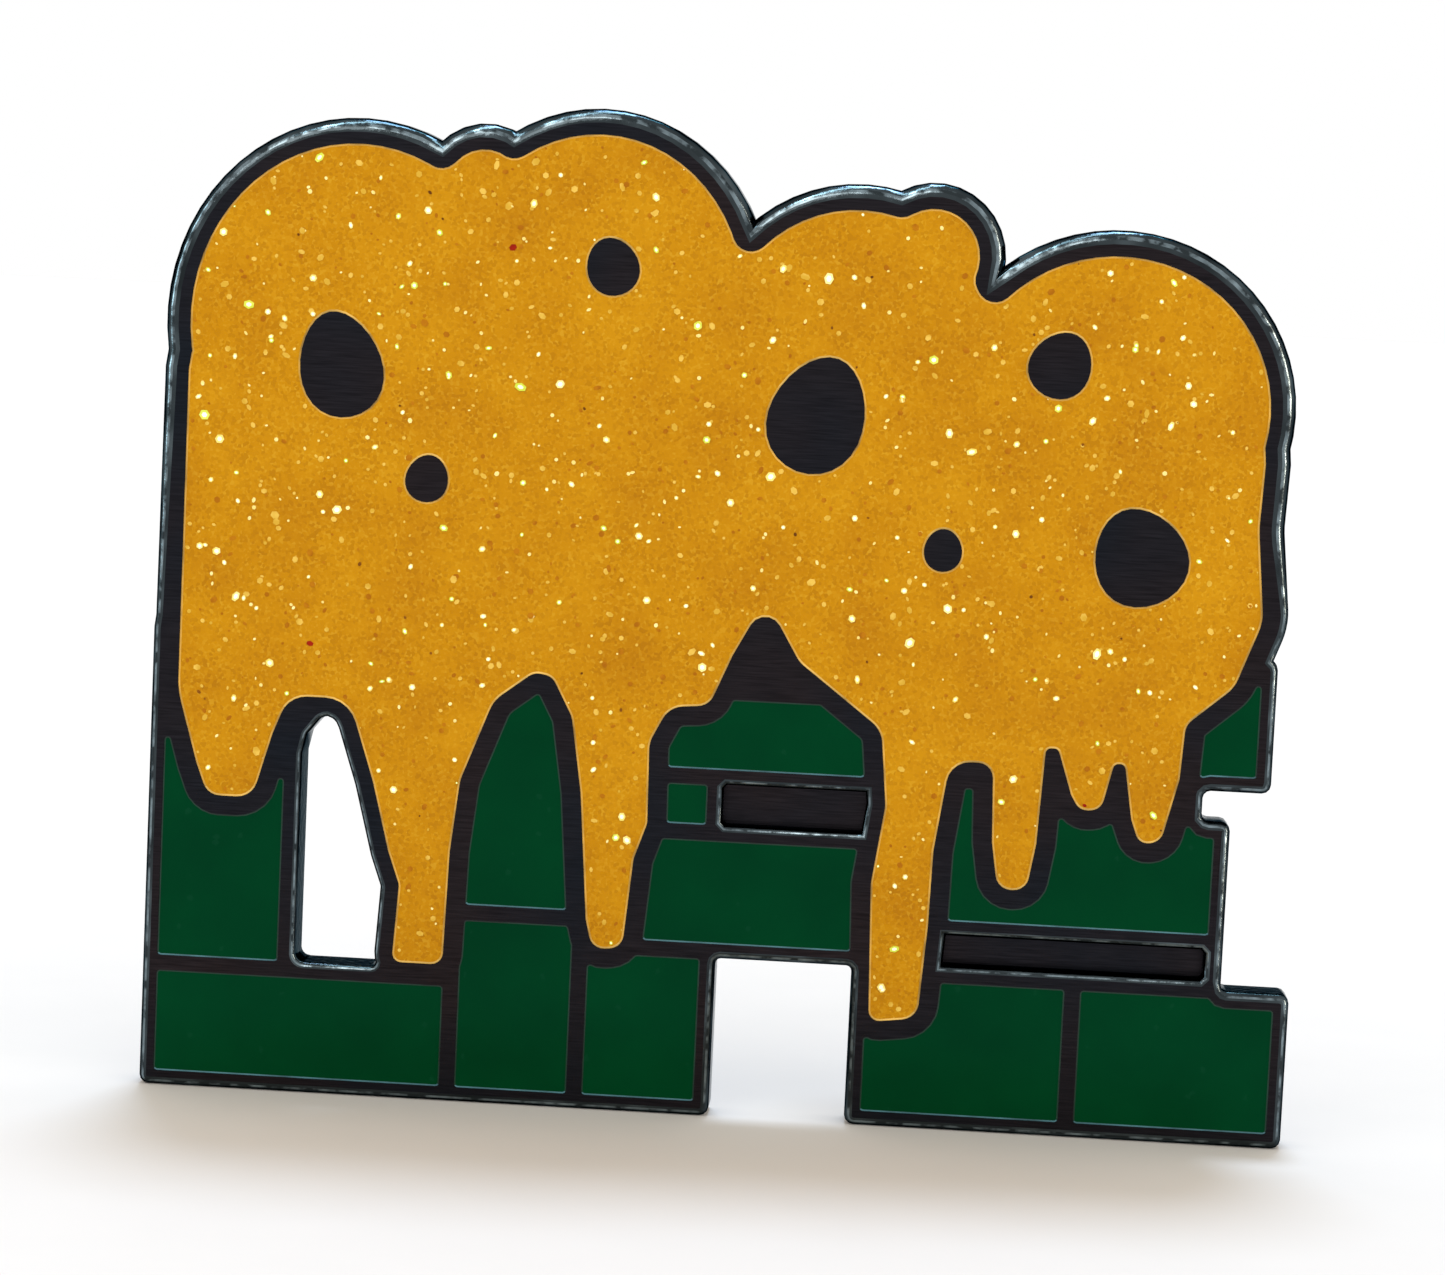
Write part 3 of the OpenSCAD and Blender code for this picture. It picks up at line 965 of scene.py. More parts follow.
@dataclass
class Glitter:
    """The larger flakes that lie in the gold's polished face.

    Attributes:
        kinds: the kinds of flake, the brightest first.
        painted_glint: the near-white middle of the brightest flakes, a painted glint.
        lift: how far a flake's middle stands in front of the enamel's face.
        foil: a flake's thickness.
        layer: how much further each brighter kind stands in front.
        painted_glint_rise: how far a white middle, the painted glint, stands in front of its flake.
        mark: distance between the points along the gold's border.
        reach: the greatest width of a flake, as a share of its distance from the border.
        tilt: the most that a flake leans, in degrees.
        seed: the seed of their places.
    """

    kinds: tuple[Flake, ...]
    painted_glint: Flake
    lift: float = 0.004 * MM
    foil: float = 0.012 * MM
    layer: float = 0.0006 * MM
    painted_glint_rise: float = 0.002 * MM
    mark: float = 0.05 * MM
    reach: float = 1.6
    tilt: float = 3.0
    seed: int = 11

    def outline(self) -> list[Vector]:
        """One flake of width 1, a six-sided cut from foil, facing -Y.

        Returns:
            Its corners.
        """
        bpy.ops.object.select_all(action="DESELECT")
        bpy.ops.mesh.primitive_circle_add(vertices=6, radius=0.5, fill_type="NGON")
        flake = bpy.context.active_object
        corners = [Vector((v.co.x, 0.0, v.co.y)) for v in flake.data.vertices]
        bpy.data.objects.remove(flake)
        return corners

    def brink(self, gold: bpy.types.Object) -> KDTree:
        """Points along the border of the gold's face, for measuring how near a flake comes to it.

        Args:
            gold: the finished gold fill.

        Returns:
            The points, ready to be searched.
        """
        uses = Counter(key for p in gold.data.polygons if p.material_index == 0 for key in p.edge_keys)
        points: list[Vector] = []
        for first, second in (key for key, count in uses.items() if count == 1):
            a, b = gold.data.vertices[first].co, gold.data.vertices[second].co
            steps = math.ceil((b - a).length / self.mark)
            points += [a.lerp(b, i / steps) for i in range(steps)]
        tree = KDTree(len(points))
        for index, point in enumerate(points):
            tree.insert(point, index)
        tree.balance()
        return tree

    def build(self, gold: bpy.types.Object) -> bpy.types.Object:
        """Scatters the flakes evenly over the gold's face.

        Args:
            gold: the finished gold fill.

        Returns:
            One piece that holds every flake, with a finish for each kind.
        """
        draw = random.Random(self.seed)
        gold.data.calc_loop_triangles()
        polygons = gold.data.polygons
        face = [t for t in gold.data.loop_triangles if polygons[t.polygon_index].material_index == 0]
        areas = [t.area for t in face]
        corners, brink = self.outline(), self.brink(gold)
        points: list[Vector] = []
        faces: list[tuple[int, ...]] = []
        finishes: list[int] = []
        for index, kind in enumerate(self.kinds):
            for triangle in draw.choices(face, weights=areas, k=kind.count):
                a, b, c = (gold.data.vertices[i].co for i in triangle.vertices)
                u, v = sorted((draw.random(), draw.random()))
                width = kind.width[0] + (kind.width[1] - kind.width[0]) * draw.random() ** 2
                lean = math.radians(self.tilt) * draw.random()
                turn = Matrix.Rotation(draw.uniform(0, math.tau), 3, "Y")
                turn = turn @ Matrix.Rotation(lean, 3, "X")
                turn = turn @ Matrix.Rotation(draw.uniform(0, math.tau), 3, "Y")
                middle = a * u + b * (v - u) + c * (1 - v)
                width = min(width, self.reach * brink.find(middle)[2])
                across, along = draw.uniform(0.75, 1.2), draw.uniform(0.6, 1.0)
                squeeze = Matrix.Diagonal((width * across, 1.0, width * along))
                middle.y -= self.lift + width / 2 * math.sin(lean) + self.layer * (len(self.kinds) - index)
                # Each bright flake gets a smaller near-white middle: a painted glint.
                painted_glint = (kind.painted_glint, self.painted_glint_rise, len(self.kinds))
                for size, rise, finish in ((1.0, 0.0, index), painted_glint):
                    if size > 0:
                        start = len(points)
                        spot = middle + Vector((0.0, -rise, 0.0))
                        points += [spot + turn @ (squeeze @ corner) * size for corner in corners]
                        faces.append(tuple(range(start + len(corners) - 1, start - 1, -1)))
                        finishes.append(finish)
        mesh = bpy.data.meshes.new("gold_glitter_flakes")
        mesh.from_pydata(points, [], faces)
        for polygon, index in zip(mesh.polygons, finishes):
            polygon.material_index = index
        piece = bpy.data.objects.new("gold_glitter_flakes", mesh)
        bpy.context.scene.collection.objects.link(piece)
        if sum(p.normal.y for p in mesh.polygons) > 0:
            mesh.flip_normals()
        for kind in (*self.kinds, self.painted_glint):
            mesh.materials.append(kind.make())
        apply_modifier(piece, "SOLIDIFY", thickness=self.foil, offset=-1.0)
        fit_out(piece, "pin")
        return piece


# The posts


@dataclass
class PinPost:
    """A headed post with its locking groove, and the solder that fixes it.

    Attributes:
        radius: the shank's radius.
        head_r: the head's radius.
        head_low: where the head lies in its seat.
        head_top: where the head ends.
        groove: where the groove starts and ends.
        groove_depth: how deep the groove is.
        point_from: where the point starts.
        length: where the point ends.
        seat_r: the seat's radius.
        fillet: the solder's skin, as (share of its width, height).
        ripple: how uneven the skin is.
        ripple_width: width of its ripples.
        skin_low: the height under which it stays even.
    """

    radius: float = 0.6 * MM
    head_r: float = 1.3 * MM
    head_low: float = -0.12 * MM
    head_top: float = 0.23 * MM
    groove: tuple[float, float] = (5.6 * MM, 6.2 * MM)
    groove_depth: float = 0.2 * MM
    point_from: float = 7.2 * MM
    length: float = 8.0 * MM
    seat_r: float = 1.9 * MM
    fillet: tuple[Point, ...] = (
        (0.62, 0.012 * MM),
        (0.36, 0.035 * MM),
        (0.18, 0.085 * MM),
        (0.06, 0.16 * MM),
    )
    ripple: float = 0.45
    ripple_width: float = 0.55 * MM
    skin_low: float = 0.005 * MM

    def profile(self) -> list[Point]:
        """The post's half section, with a rounded head and a fillet under the shank.

        Returns:
            Points as (radius, height).
        """
        r, top, deep = self.radius, self.head_top, self.groove_depth
        low, high = self.groove
        waist = [(r, low), (r - 0.6 * deep, low + 0.05 * MM), (r - deep, low + 0.18 * MM)]
        waist += [(r - deep, high - 0.18 * MM), (r - 0.6 * deep, high - 0.05 * MM), (r, high)]
        point = [(r, self.point_from - 0.05 * MM), (r - 0.03 * MM, self.point_from + 0.06 * MM)]
        end = self.length
        point += [(0.16 * MM, end - 0.1 * MM), (0.08 * MM, end - 0.02 * MM), (0.0, end)]
        return [
            (0.0, self.head_low),
            (self.head_r, self.head_low),
            *arc((self.head_r - 0.09 * MM, top - 0.09 * MM), 0.09 * MM, 0, 90, 4),
            *arc((r + 0.12 * MM, top + 0.12 * MM), 0.12 * MM, -90, -180, 4),
            *waist,
            *point,
        ]

    def solder(self) -> list[Point]:
        """The solder's half section, which creeps up round the head.

        Returns:
            Points as (radius, height).
        """
        inner, outer = self.head_r + 0.002 * MM, self.seat_r - 0.004 * MM
        width = self.seat_r - self.head_r
        skin = [(self.head_r + share * width, height) for share, height in self.fillet]
        return [(inner, self.head_low), (outer, self.head_low), (outer, 0.0), *skin, (inner, 0.2 * MM)]

    def build(self) -> list[bpy.types.Object]:
        """Turns one post and its solder.

        Returns:
            The two models, on the Y axis.
        """
        section = self.solder()
        return [turned(self.profile(), 40), turned([*section, section[0]], 56)]

    def dress(
        self, models: list[bpy.types.Object], side: str, x: float, *finishes: bpy.types.Material
    ) -> None:
        """Sets a copy of the post in its place.

        Args:
            models: what build gave.
            side: left or right.
            x: where its axis stands.
            finishes: the post's finish and the solder's.
        """
        shift = Matrix.Translation((x, 0.0, 0.0))
        post = copied(models[0], f"{side}_nickel_post", shift)
        solder = copied(models[1], f"{side}_solder_fillet", shift)
        for vertex in solder.data.vertices:
            if vertex.co.y > self.skin_low:
                ripple = noise.noise(vertex.co / self.ripple_width + Vector((x / MM, 0.0, 0.0)))
                vertex.co.y = max(0.8 * self.skin_low, vertex.co.y * (1.0 + self.ripple * ripple))
        for piece, finish in zip((post, solder), finishes):
            piece.data.materials.append(finish)
            smooth_shading(piece, 50.0)
        fit_out(post, "pin", [f"{side}_post"])
        fit_out(solder, "pin", [f"{side}_post_solder"])


# The clutches


@dataclass
class Clutch:
    """A butterfly clutch: a disc with a rolled rim, a domed cap and two spring leaves.

    Attributes:
        low: where its lower face lies.
        sheet: thickness of its sheet.
        hole_r: radius of the disc's hole.
        outer_r: radius of the disc.
        rim_h: height of the disc's rolled rim.
        lip_in: radius at which the rolled lip ends.
        channel_r: radius of the rim's inner wall.
        channel_top: height of the room under the lip.
        cap_h: height of the cap's top.
        cap_top_r: radius of the cap's flat top.
        cap_foot_r: radius of the cap's foot.
        flange_r: radius of the cap's flange.
        flange_low: height of the flange's lower face.
        slot_end: distance of the slot's ends from the axis.
        slot_half: half the slot's width.
        slot_round: radius to which the slot's ends are rolled.
        jaw_h: height of a jaw's middle line.
        jaw_from: distance of a jaw's end from the axis.
        jaw_hole_r: radius of the half hole in a jaw.
        leaf_reach: the furthest that a leaf goes inside the cap.
        leaf_round: how far a leaf's edges are rounded.
        bend_r: radius of the leaf's lower bend.
        riser_lean: lean of the part that rises through the slot, in degrees.
        flare_r: radius of the bend into the wing.
        wing_lean: lean of the wing, in degrees.
        wing_len: length of the wing's straight part.
        curl_r: radius of the curled end.
        rib_at: where the grip ribs lie, as shares of the wing's length.
        rib_half: half the width of a rib, as such a share.
        rib_rise: height of a rib.
        neck_half: half the leaf's width in the slot.
        wing_half: half the wing's width.
        wing_corner: radius of the wing's corners.
    """

    low: float = 2.5 * MM
    sheet: float = 0.3 * MM
    hole_r: float = 0.95 * MM
    outer_r: float = 5.75 * MM
    rim_h: float = 0.9 * MM
    lip_in: float = 4.7 * MM
    channel_r: float = 5.35 * MM
    channel_top: float = 0.7 * MM
    cap_h: float = 2.5 * MM
    cap_top_r: float = 3.5 * MM
    cap_foot_r: float = 4.5 * MM
    flange_r: float = 5.3 * MM
    flange_low: float = 0.35 * MM
    slot_end: float = 2.4935 * MM
    slot_half: float = 1.62 * MM
    slot_round: float = 0.145 * MM
    jaw_h: float = 1.05 * MM
    jaw_from: float = 0.18 * MM
    jaw_hole_r: float = 0.63 * MM
    leaf_reach: float = 2.6 * MM
    leaf_round: float = 0.07 * MM
    bend_r: float = 0.5 * MM
    riser_lean: float = 18.0
    flare_r: float = 0.9 * MM
    wing_lean: float = 52.0
    wing_len: float = 2.6 * MM
    curl_r: float = 0.5 * MM
    rib_at: tuple[float, ...] = (0.24, 0.5, 0.76)
    rib_half: float = 0.1
    rib_rise: float = 0.11 * MM
    neck_half: float = 1.5 * MM
    wing_half: float = 2.9 * MM
    wing_corner: float = 1.1 * MM

    def disc(self) -> bpy.types.Object:
        """The round disc, dished round its hole, with its rim rolled over the cap's flange.

        Returns:
            The disc.
        """
        roll = self.rim_h / 2
        middle = (self.outer_r - roll, roll)
        lip = (self.rim_h - self.channel_top) / 2
        section = [
            (self.hole_r, 0.22 * MM),
            *arc((self.hole_r + 0.3 * MM, 0.22 * MM), 0.3 * MM, 180, 225, 4),
            (self.hole_r + 0.32 * MM, 0.0),
            (2.6 * MM, 0.0),
            (2.75 * MM, 0.07 * MM),
            (3.05 * MM, 0.07 * MM),
            (3.2 * MM, 0.0),
            *arc(middle, roll, -90, 90, 12),
            *arc((self.lip_in + lip, self.rim_h - lip), lip, 90, 270, 6),
            (self.channel_r - 0.1 * MM, self.channel_top),
            *arc((self.channel_r - 0.1 * MM, self.channel_top - 0.1 * MM), 0.1 * MM, 60, 0, 3),
            (self.channel_r, self.sheet + 0.08 * MM),
            (self.channel_r - 0.08 * MM, self.sheet),
            (3.2 * MM, self.sheet),
            (self.hole_r + 0.2 * MM, self.sheet),
            (self.hole_r + 0.02 * MM, self.sheet - 0.03 * MM),
            (self.hole_r, 0.22 * MM),
        ]
        return turned(section, 72)

    def cap(self) -> bpy.types.Object:
        """The domed cap, with its slot cut and the slot's ends rolled.

        Returns:
            The cap.
        """
        s, h = self.sheet, self.cap_h
        section = [
            (0.0, h - s),
            (self.cap_top_r - 0.3 * MM, h - s),
            *arc((self.cap_top_r - 0.3 * MM, h - s - 0.35 * MM), 0.35 * MM, 90, 25, 4),
            (self.cap_foot_r - s, self.flange_low + 0.2 * MM),
            *arc((self.cap_foot_r - s + 0.2 * MM, self.flange_low + 0.2 * MM), 0.2 * MM, 200, 270, 3),
            (self.flange_r, self.flange_low),
            (self.flange_r, self.flange_low + s),
            *arc((self.cap_foot_r + 0.14 * MM, self.flange_low + s + 0.14 * MM), 0.14 * MM, 270, 200, 3),
            (self.cap_top_r + 0.35 * MM, h - 0.42 * MM),
            *arc((self.cap_top_r - 0.15 * MM, h - 0.5 * MM), 0.5 * MM, 18, 90, 6),
            (0.0, h),
        ]
        piece = turned(section, 72)
        bpy.ops.object.select_all(action="DESELECT")
        bpy.ops.mesh.primitive_cube_add(size=1.0, location=(0.0, h - s / 2, 0.0))
        cutter = bpy.context.active_object
        cutter.scale = (2 * self.slot_end, 4 * s, 2 * self.slot_half)
        bpy.ops.object.transform_apply(location=True, rotation=True, scale=True)
        cut_away(piece, cutter)
        with Bench(piece) as bench:
            bench.merge()
            bench.pick("EDGE", self.across_slot)
            bpy.ops.mesh.bevel(
                offset_type="OFFSET", offset=self.slot_round, segments=4, profile=0.5, clamp_overlap=False
            )
        return piece

    def across_slot(self, edge: bmesh.types.BMEdge) -> bool:
        """Whether an edge runs across the slot at one of its ends.

        Args:
            edge: the edge that is tested.

        Returns:
            True if it does.
        """
        at_end = all(abs(abs(v.co.x) - self.slot_end) < MERGE_GAP for v in edge.verts)
        wide = abs(edge.verts[0].co.z - edge.verts[1].co.z) > self.slot_half
        return at_end and wide and all(abs(v.co.z) < self.slot_half + MERGE_GAP for v in edge.verts)

    def leaf_line(self) -> list[Point]:
        """The middle line of a leaf, from its jaw to its curl.

        Returns:
            Points as (distance from the axis, height).
        """
        lean, wing = math.radians(self.riser_lean), math.radians(self.wing_lean)
        bend_at = (self.leaf_reach - self.sheet / 2 - self.bend_r, self.jaw_h + self.bend_r)
        jaw = [(self.jaw_from + (bend_at[0] - self.jaw_from) * i / 6, self.jaw_h) for i in range(6)]
        bend = arc(bend_at, self.bend_r, -90, self.riser_lean, 12)
        neck_h = self.cap_h - self.sheet / 2
        neck_x = bend[-1][0] - (neck_h - bend[-1][1]) * math.tan(lean)
        flare_at = (neck_x + self.flare_r * math.cos(lean), neck_h + self.flare_r * math.sin(lean))
        flare = arc(flare_at, self.flare_r, 180 + self.riser_lean, 90 + self.wing_lean, 10)
        foot, straight, steps = flare[-1], [], 36
        for i in range(1, steps + 1):
            along, rise = self.wing_len * i / steps, self.rib(i / steps)
            straight.append(
                (
                    foot[0] + along * math.sin(wing) - rise * math.cos(wing),
                    foot[1] + along * math.cos(wing) + rise * math.sin(wing),
                )
            )
        end = straight[-1]
        curl_at = (end[0] + self.curl_r * math.cos(wing), end[1] - self.curl_r * math.sin(wing))
        return jaw + bend + flare + straight + arc(curl_at, self.curl_r, 180 - self.wing_lean, -60, 14)[1:]

    def rib(self, share: float) -> float:
        """How far the three grip ribs lift the wing at a share of its length."""
        near = min(abs(share - place) for place in self.rib_at)
        return self.rib_rise * math.cos(math.pi / 2 * min(1.0, near / self.rib_half)) ** 2

    def leaf_half(self, height: float, left: float) -> float:
        """Half the leaf's width.

        Args:
            height: the height above the clutch's lower face.
            left: how much of the leaf is left before its end.

        Returns:
            Half the width there.
        """
        narrow, wide = self.cap_h + 0.25 * MM, self.cap_h + 1.4 * MM
        share = min(1.0, max(0.0, (height - narrow) / (wide - narrow)))
        half = self.neck_half + (self.wing_half - self.neck_half) * share
        short = max(0.0, self.wing_corner - left)
        return half - self.wing_corner + math.sqrt(self.wing_corner**2 - short**2)

    def leaf(self) -> bpy.types.Object:
        """One bent spring leaf, with a half-round jaw, pressed grip ribs and a rounded, curled end.

        Returns:
            The leaf that bends towards +X.
        """
        line = self.leaf_line()
        lengths = [math.dist(a, b) for a, b in zip(line, line[1:])]
        left = [sum(lengths[i:]) for i in range(len(line))]
        piece = drawn_line(line)
        with Bench(piece) as bench:
            bpy.ops.mesh.select_all(action="SELECT")
            bpy.ops.mesh.extrude_edges_move(TRANSFORM_OT_translate={"value": (0.0, 0.0, MM)})
            for vertex in bench.mesh().verts:
                spot = min(range(len(line)), key=lambda i: math.dist(line[i], (vertex.co.x, vertex.co.y)))
                vertex.co.z = math.copysign(self.leaf_half(line[spot][1], left[spot]), vertex.co.z - MM / 2)
            bmesh.update_edit_mesh(piece.data)
        apply_modifier(piece, "SOLIDIFY", thickness=self.sheet, offset=0.0, use_even_offset=True)
        with Bench(piece) as bench:
            bench.close_up()
        bpy.ops.object.select_all(action="DESELECT")
        bpy.ops.mesh.primitive_cylinder_add(
            vertices=32,
            radius=self.jaw_hole_r,
            depth=2 * MM,
            location=(0.0, self.jaw_h, 0.0),
            rotation=(math.pi / 2, 0.0, 0.0),
        )
        cut_away(piece, bpy.context.active_object)
        apply_modifier(
            piece,
            "BEVEL",
            width=self.leaf_round,
            segments=3,
            limit_method="ANGLE",
            angle_limit=math.radians(50.0),
        )
        return piece

    def build(self) -> dict[str, bpy.types.Object]:
        """Models one disc, one cap and one leaf.

        Returns:
            The three models, on the Y axis.
        """
        return {"disc": self.disc(), "cap": self.cap(), "leaf": self.leaf()}

    def dress(
        self, models: dict[str, bpy.types.Object], side: str, x: float, *finishes: bpy.types.Material
    ) -> None:
        """Sets copies of the disc, the cap and two leaves in their places.

        Args:
            models: what build gave.
            side: left or right.
            x: where its axis stands.
            finishes: the stamped sheet's finish and the springs'.
        """
        shift = Matrix.Translation((x, self.low, 0.0))
        turned_round = shift @ Matrix.Rotation(math.pi, 4, "Y")
        outer, inner = (shift, turned_round) if x > 0 else (turned_round, shift)
        stamped, spring = finishes
        for model, name, place, body, node in (
            ("disc", "clutch_disc", shift, "disc", "clutch_base"),
            ("cap", "clutch_cap", shift, "cap", "clutch_cap"),
            ("leaf", "inner_leaf", inner, "inner_wing", "clutch_inner_wing"),
            ("leaf", "outer_leaf", outer, "outer_wing", "clutch_outer_wing"),
        ):
            piece = copied(models[model], f"{side}_{name}", place)
            piece.data.materials.append(spring if model == "leaf" else stamped)
            smooth_shading(piece, 45.0)
            fit_out(piece, f"{side}_{body}", [f"{side}_{node}"])


# The studio


@dataclass(frozen=True)
class SoftBox:
    """One soft studio light.

    Attributes:
        name: its name.
        place: where it hangs.
        size: its width and height.
        radiance: how bright its face is.
        tint: its colour.
        on_floor: whether it lights the floor too.
    """

    name: str
    place: Vector
    size: tuple[float, float]
    radiance: float
    tint: Colour
    on_floor: bool = False

    def hang(self, target: Vector, unlit: bpy.types.Collection) -> None:
        """Adds the light.

        Args:
            target: the point that it faces.
            unlit: holds the floor, for a light that leaves it out.
        """
        bpy.ops.object.light_add(type="AREA", location=self.place)
        light = bpy.context.active_object
        light.name = self.name
        light.data.shape = "RECTANGLE"
        light.data.size, light.data.size_y = self.size
        light.data.energy = self.radiance * math.pi * self.size[0] * self.size[1]
        light.data.color = self.tint
        light.rotation_euler = (target - self.place).to_track_quat("-Z", "Y").to_euler()
        if not self.on_floor:
            light.light_linking.receiver_collection = unlit


@dataclass
class Studio:
    """Floor, lights, sky and camera.

    Attributes:
        floor_z: height of the floor.
        azimuth: how far the camera stands to the right, in degrees.
        elevation: how far it stands above, in degrees.
        roll: how far the pin is turned clockwise in the picture, in degrees.
        distance: from the camera to the pin.
        lens: focal length over a sensor 36 wide.
        aim: the point in the middle of the picture.
        lamp: strength of the wide lamp.
        lamp_lean: how far behind the pin the wide lamp stands, in degrees.
        lamp_spread: how wide the wide lamp looks, in degrees.
        lamp_tint: the wide lamp's colour.
    """

    floor_z: float = -20.0 * MM
    azimuth: float = 3.0
    elevation: float = 5.5
    roll: float = 2.7
    distance: float = 130.0 * MM
    lens: float = 98.2
    aim: Vector = Vector((-0.2 * MM, -0.8 * MM, -4.1 * MM))
    lamp: float = 2.4
    lamp_lean: float = 21.0
    lamp_spread: float = 16.0
    lamp_tint: Colour = (0.54, 0.714, 1.0)

    def floor(self) -> bpy.types.Collection:
        """Lays a sheet of pale paper, large enough for every view.

        Returns:
            A collection that keeps lights off the paper.
        """
        bpy.ops.object.select_all(action="DESELECT")
        bpy.ops.mesh.primitive_plane_add(size=4.0, location=(0.0, 0.0, self.floor_z))
        sheet = bpy.context.active_object
        sheet.name = "pale_floor"
        bpy.ops.object.transform_apply(location=True)
        sheet.data.materials.append(StudioPaper().make())
        unlit = bpy.data.collections.new("lights_leave_out")
        unlit.objects.link(sheet)
        unlit.collection_objects[0].light_linking.link_state = "EXCLUDE"
        return unlit

    def sky(self, strength: float) -> None:
        """Fills the room with even white light.

        Args:
            strength: how bright it is.
        """
        world = bpy.data.worlds.new("studio")
        bpy.context.scene.world = world
        world.use_nodes = True
        back = world.node_tree.nodes["Background"]
        back.inputs["Color"].default_value = (1.0, 1.0, 1.0, 1.0)
        back.inputs["Strength"].default_value = strength

    def lights(self, unlit: bpy.types.Collection) -> None:
        """Hangs the soft boxes round the pin and a wide soft lamp above and behind it.

        Args:
            unlit: holds the floor, which the narrow boxes leave out.
        """
        boxes = [
            SoftBox("top_strip", Vector((-0.05, 0.03, 0.5)), (0.8, 0.06), 16.0, (0.62, 0.88, 1.0)),
            SoftBox("right_strip", Vector((0.45, -0.12, 0.1)), (0.05, 0.3), 20.0, (1.0, 0.84, 0.66)),
            SoftBox("left_strip", Vector((-0.5, -0.1, 0.1)), (0.08, 0.3), 5.0, (0.7, 0.92, 1.0)),
            SoftBox("front_box", Vector((-0.25, -0.55, 0.42)), (0.4, 0.4), 3.6, (1.0, 0.98, 0.95)),
            SoftBox("back_box", Vector((-0.25, 0.5, 0.4)), (0.3, 0.3), 2.0, (1.0, 0.98, 0.96)),
        ]
        for box in boxes:
            box.hang(self.aim, unlit)
        bpy.ops.object.light_add(type="SUN")
        lamp = bpy.context.active_object
        lamp.name = "wide_lamp"
        lamp.data.energy = self.lamp
        lamp.data.angle = math.radians(self.lamp_spread)
        lamp.data.color = self.lamp_tint
        lamp.rotation_euler = (math.radians(-self.lamp_lean), 0.0, 0.0)

    def camera(self) -> None:
        """Sets the camera at the viewing angle."""
        azimuth, elevation = math.radians(self.azimuth), math.radians(self.elevation)
        away = Vector(
            (
                math.sin(azimuth) * math.cos(elevation),
                -math.cos(azimuth) * math.cos(elevation),
                math.sin(elevation),
            )
        )
        bpy.ops.object.camera_add(location=self.aim + away * self.distance)
        camera = bpy.context.active_object
        camera.name = "front_camera"
        camera.data.lens = self.lens
        camera.data.sensor_width = 36.0
        camera.data.clip_start, camera.data.clip_end = 1.0 * MM, 20.0
        camera.rotation_mode = "QUATERNION"
        level = (-away).to_track_quat("-Z", "Y")
        camera.rotation_quaternion = level @ Quaternion((0.0, 0.0, 1.0), math.radians(self.roll))
        bpy.context.scene.camera = camera

    def build(self) -> None:
        """Sets the whole studio up."""
        unlit = self.floor()
        self.sky(1.0)
        self.lights(unlit)
        self.camera()
        bpy.context.scene.view_settings.view_transform = "Standard"


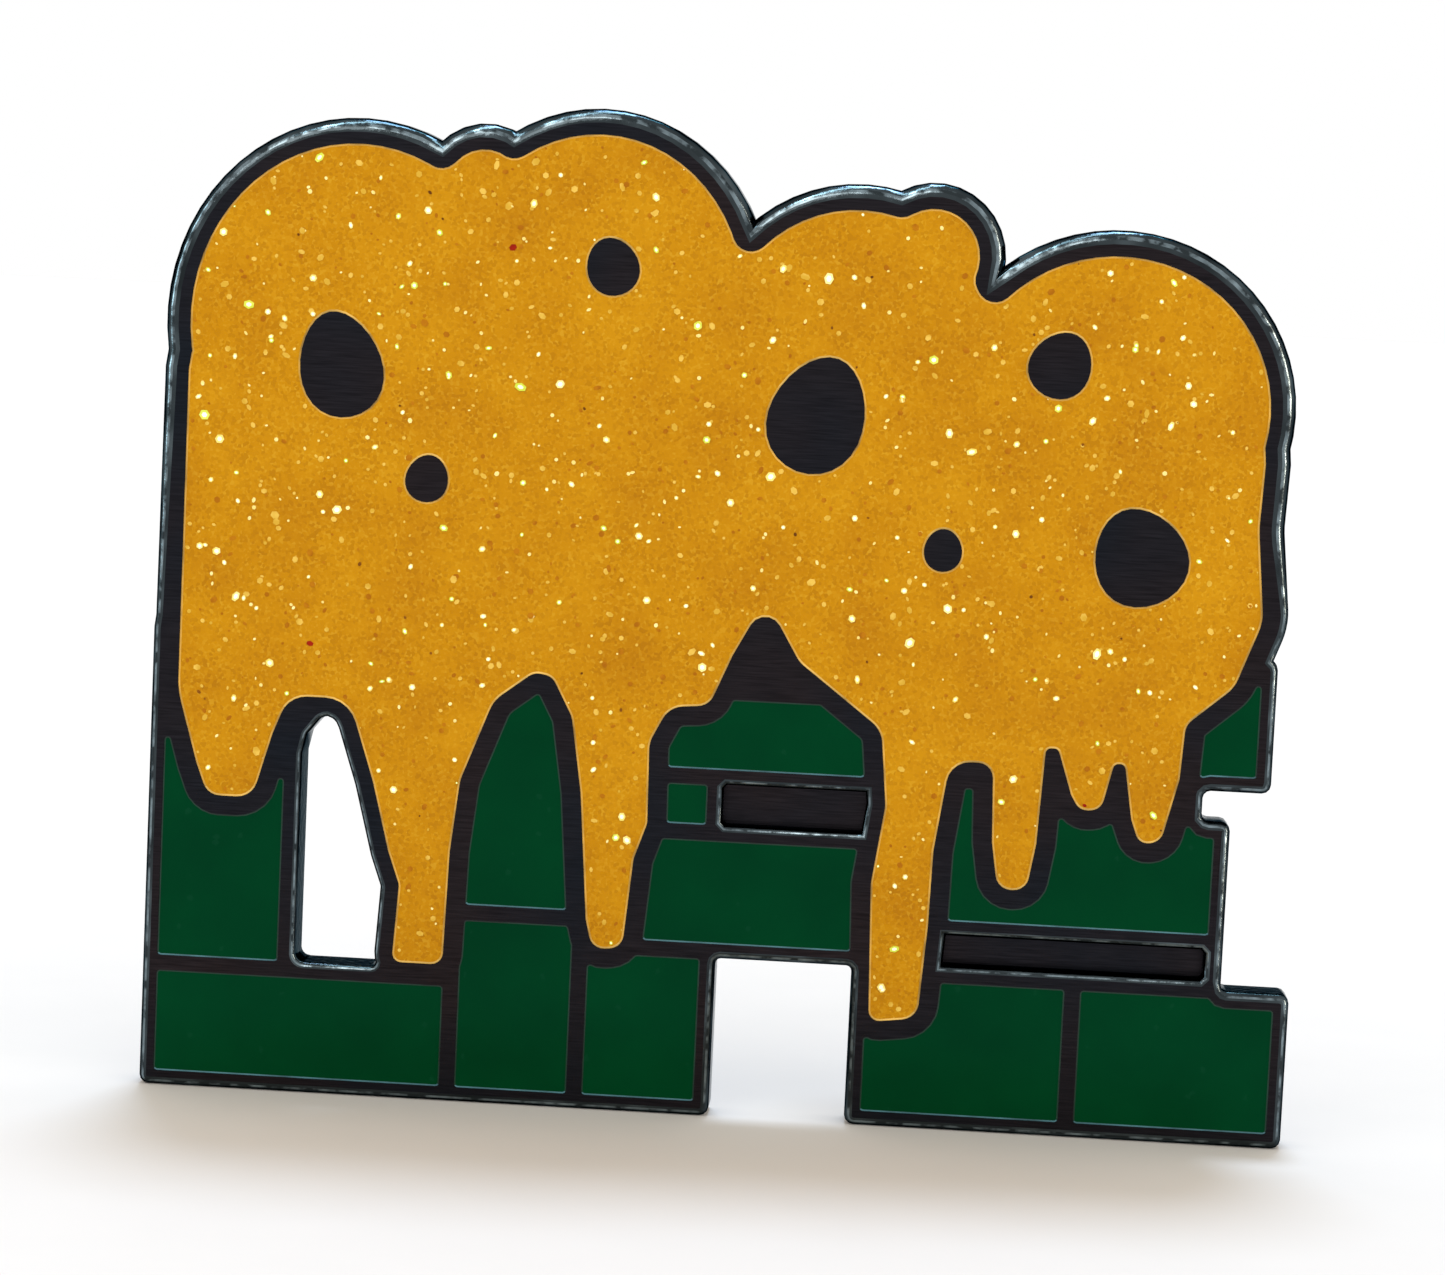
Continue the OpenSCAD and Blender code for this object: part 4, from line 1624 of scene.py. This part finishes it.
@dataclass
class EnamelPin:
    """The whole pin.

    Attributes:
        blocks: names of the green fills.
        post_x: distance of a post from the middle.
    """

    blocks: tuple[str, ...] = (
        "sill",
        "window_jamb",
        "pier_foot",
        "pier",
        "door_foot",
        "lintel",
        "closer",
        "keystone",
        "right_foot",
        "right_corner",
        "right_block",
        "right_cap",
    )
    post_x: float = 9.5 * MM

    def glitter(self) -> Glitter:
        """The kinds of flake in the gold.

        Returns:
            The glitter, the brightest kind first.
        """
        pale = Flake("flake_pale", ((0.8, 0.62, 0.1), (0.9, 0.78, 0.28)), 135, (0.17 * MM, 0.36 * MM), 0.55)
        lime = Flake("flake_lime", ((0.55, 0.62, 0.03), (0.72, 0.72, 0.08)), 60, (0.17 * MM, 0.36 * MM), 0.5)
        fine = Flake("flake_fine", ((0.8, 0.6, 0.16), (0.9, 0.76, 0.3)), 230, (0.09 * MM, 0.17 * MM))
        faint = Flake("flake_faint", ((0.58, 0.33, 0.03), (0.7, 0.44, 0.07)), 620, (0.11 * MM, 0.28 * MM))
        deep = Flake("flake_deep", ((0.34, 0.11, 0.002), (0.42, 0.15, 0.002)), 420, (0.09 * MM, 0.24 * MM))
        brown = Flake("flake_brown", ((0.12, 0.035, 0.002), (0.22, 0.07, 0.004)), 26, (0.08 * MM, 0.18 * MM))
        red = Flake("flake_red", ((0.2, 0.006, 0.001), (0.3, 0.012, 0.002)), 3, (0.26 * MM, 0.4 * MM))
        # Near-white middles of the brightest flakes: painted glints.
        painted_glint = Flake("flake_painted_glint", ((1.0, 0.96, 0.62), (1.0, 1.0, 0.86)), 0, (0.0, 0.0), 1.0)
        return Glitter((pale, lime, fine, red, brown, deep, faint), painted_glint)

    def front(self, frame: dict) -> None:
        """Builds and dresses the plate and its fills.
        """
        plate = StruckPlate()
        plate.dress(plate.build(frame))
        # The gold's brim is a painted highlight: a lit copy along walls that face down, a shaded copy
        # elsewhere.
        amber, amber_brim_highlight = GoldGround().make(), EnamelBrimHighlight("gold_brim_highlight", (0.6, 0.36, 0.08)).make()
        amber_dim = EnamelBrimHighlight("gold_brim_shaded", (0.54, 0.29, 0.045)).make()
        fill = EnamelFill("gold_glitter_enamel", "gold_glitter", brim=0.06 * MM)
        gold = fill.build(frame)
        fill.dress(gold, amber, amber_brim_highlight, amber_dim)
        self.glitter().build(gold)
        # The green's lower brim is a painted reflection of the bright floor, in pale blue; the rest of its
        # brim is a shaded copy.
        green, green_brim = GreenEnamel().make(), EnamelBrimHighlight("green_brim", (0.05, 0.13, 0.15)).make()
        green_dim = EnamelBrimHighlight("green_brim_shaded", (0.003, 0.024, 0.013)).make()
        for block in self.blocks:
            fill = EnamelFill(f"green_{block}_enamel", "dark_green")
            fill.dress(fill.build(frame), green, green_brim, green_dim)

    def back(self) -> None:
        """Builds and dresses the posts, their solder and the clutches."""
        wire = BareMetal("drawn_nickel", (0.56, 0.545, 0.51), (0.16, 0.34), (9.0, 1.0, 9.0)).make()
        tin = BareMetal("dull_solder", (0.4, 0.4, 0.41), (0.34, 0.55), pits=0.012 * MM).make()
        stamped = BareMetal("stamped_brass", (0.66, 0.43, 0.13), (0.16, 0.36), (1.0, 1.0, 5.0)).make()
        spring = BareMetal("spring_brass", (0.72, 0.49, 0.17), (0.14, 0.32), (1.0, 1.0, 8.0)).make()
        post, clutch = PinPost(), Clutch()
        posts, clutches = post.build(), clutch.build()
        for side, x in (("left", -self.post_x), ("right", self.post_x)):
            post.dress(posts, side, x, wire, tin)
            clutch.dress(clutches, side, x, stamped, spring)
        for model in (*posts, *clutches.values()):
            bpy.data.objects.remove(model)


def corners(box: tuple[Vector, Vector]) -> list[list[float]]:
    """A box's two corners as plain lists."""
    return [list(box[0]), list(box[1])]


def main() -> None:
    """Builds the pin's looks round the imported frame."""
    logging.basicConfig(level=logging.INFO, format="%(name)s: %(message)s")
    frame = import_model()
    studio = Studio()
    studio.build()
    pin = EnamelPin()
    pin.front(frame)
    pin.back()


if __name__ == "__main__":
    main()
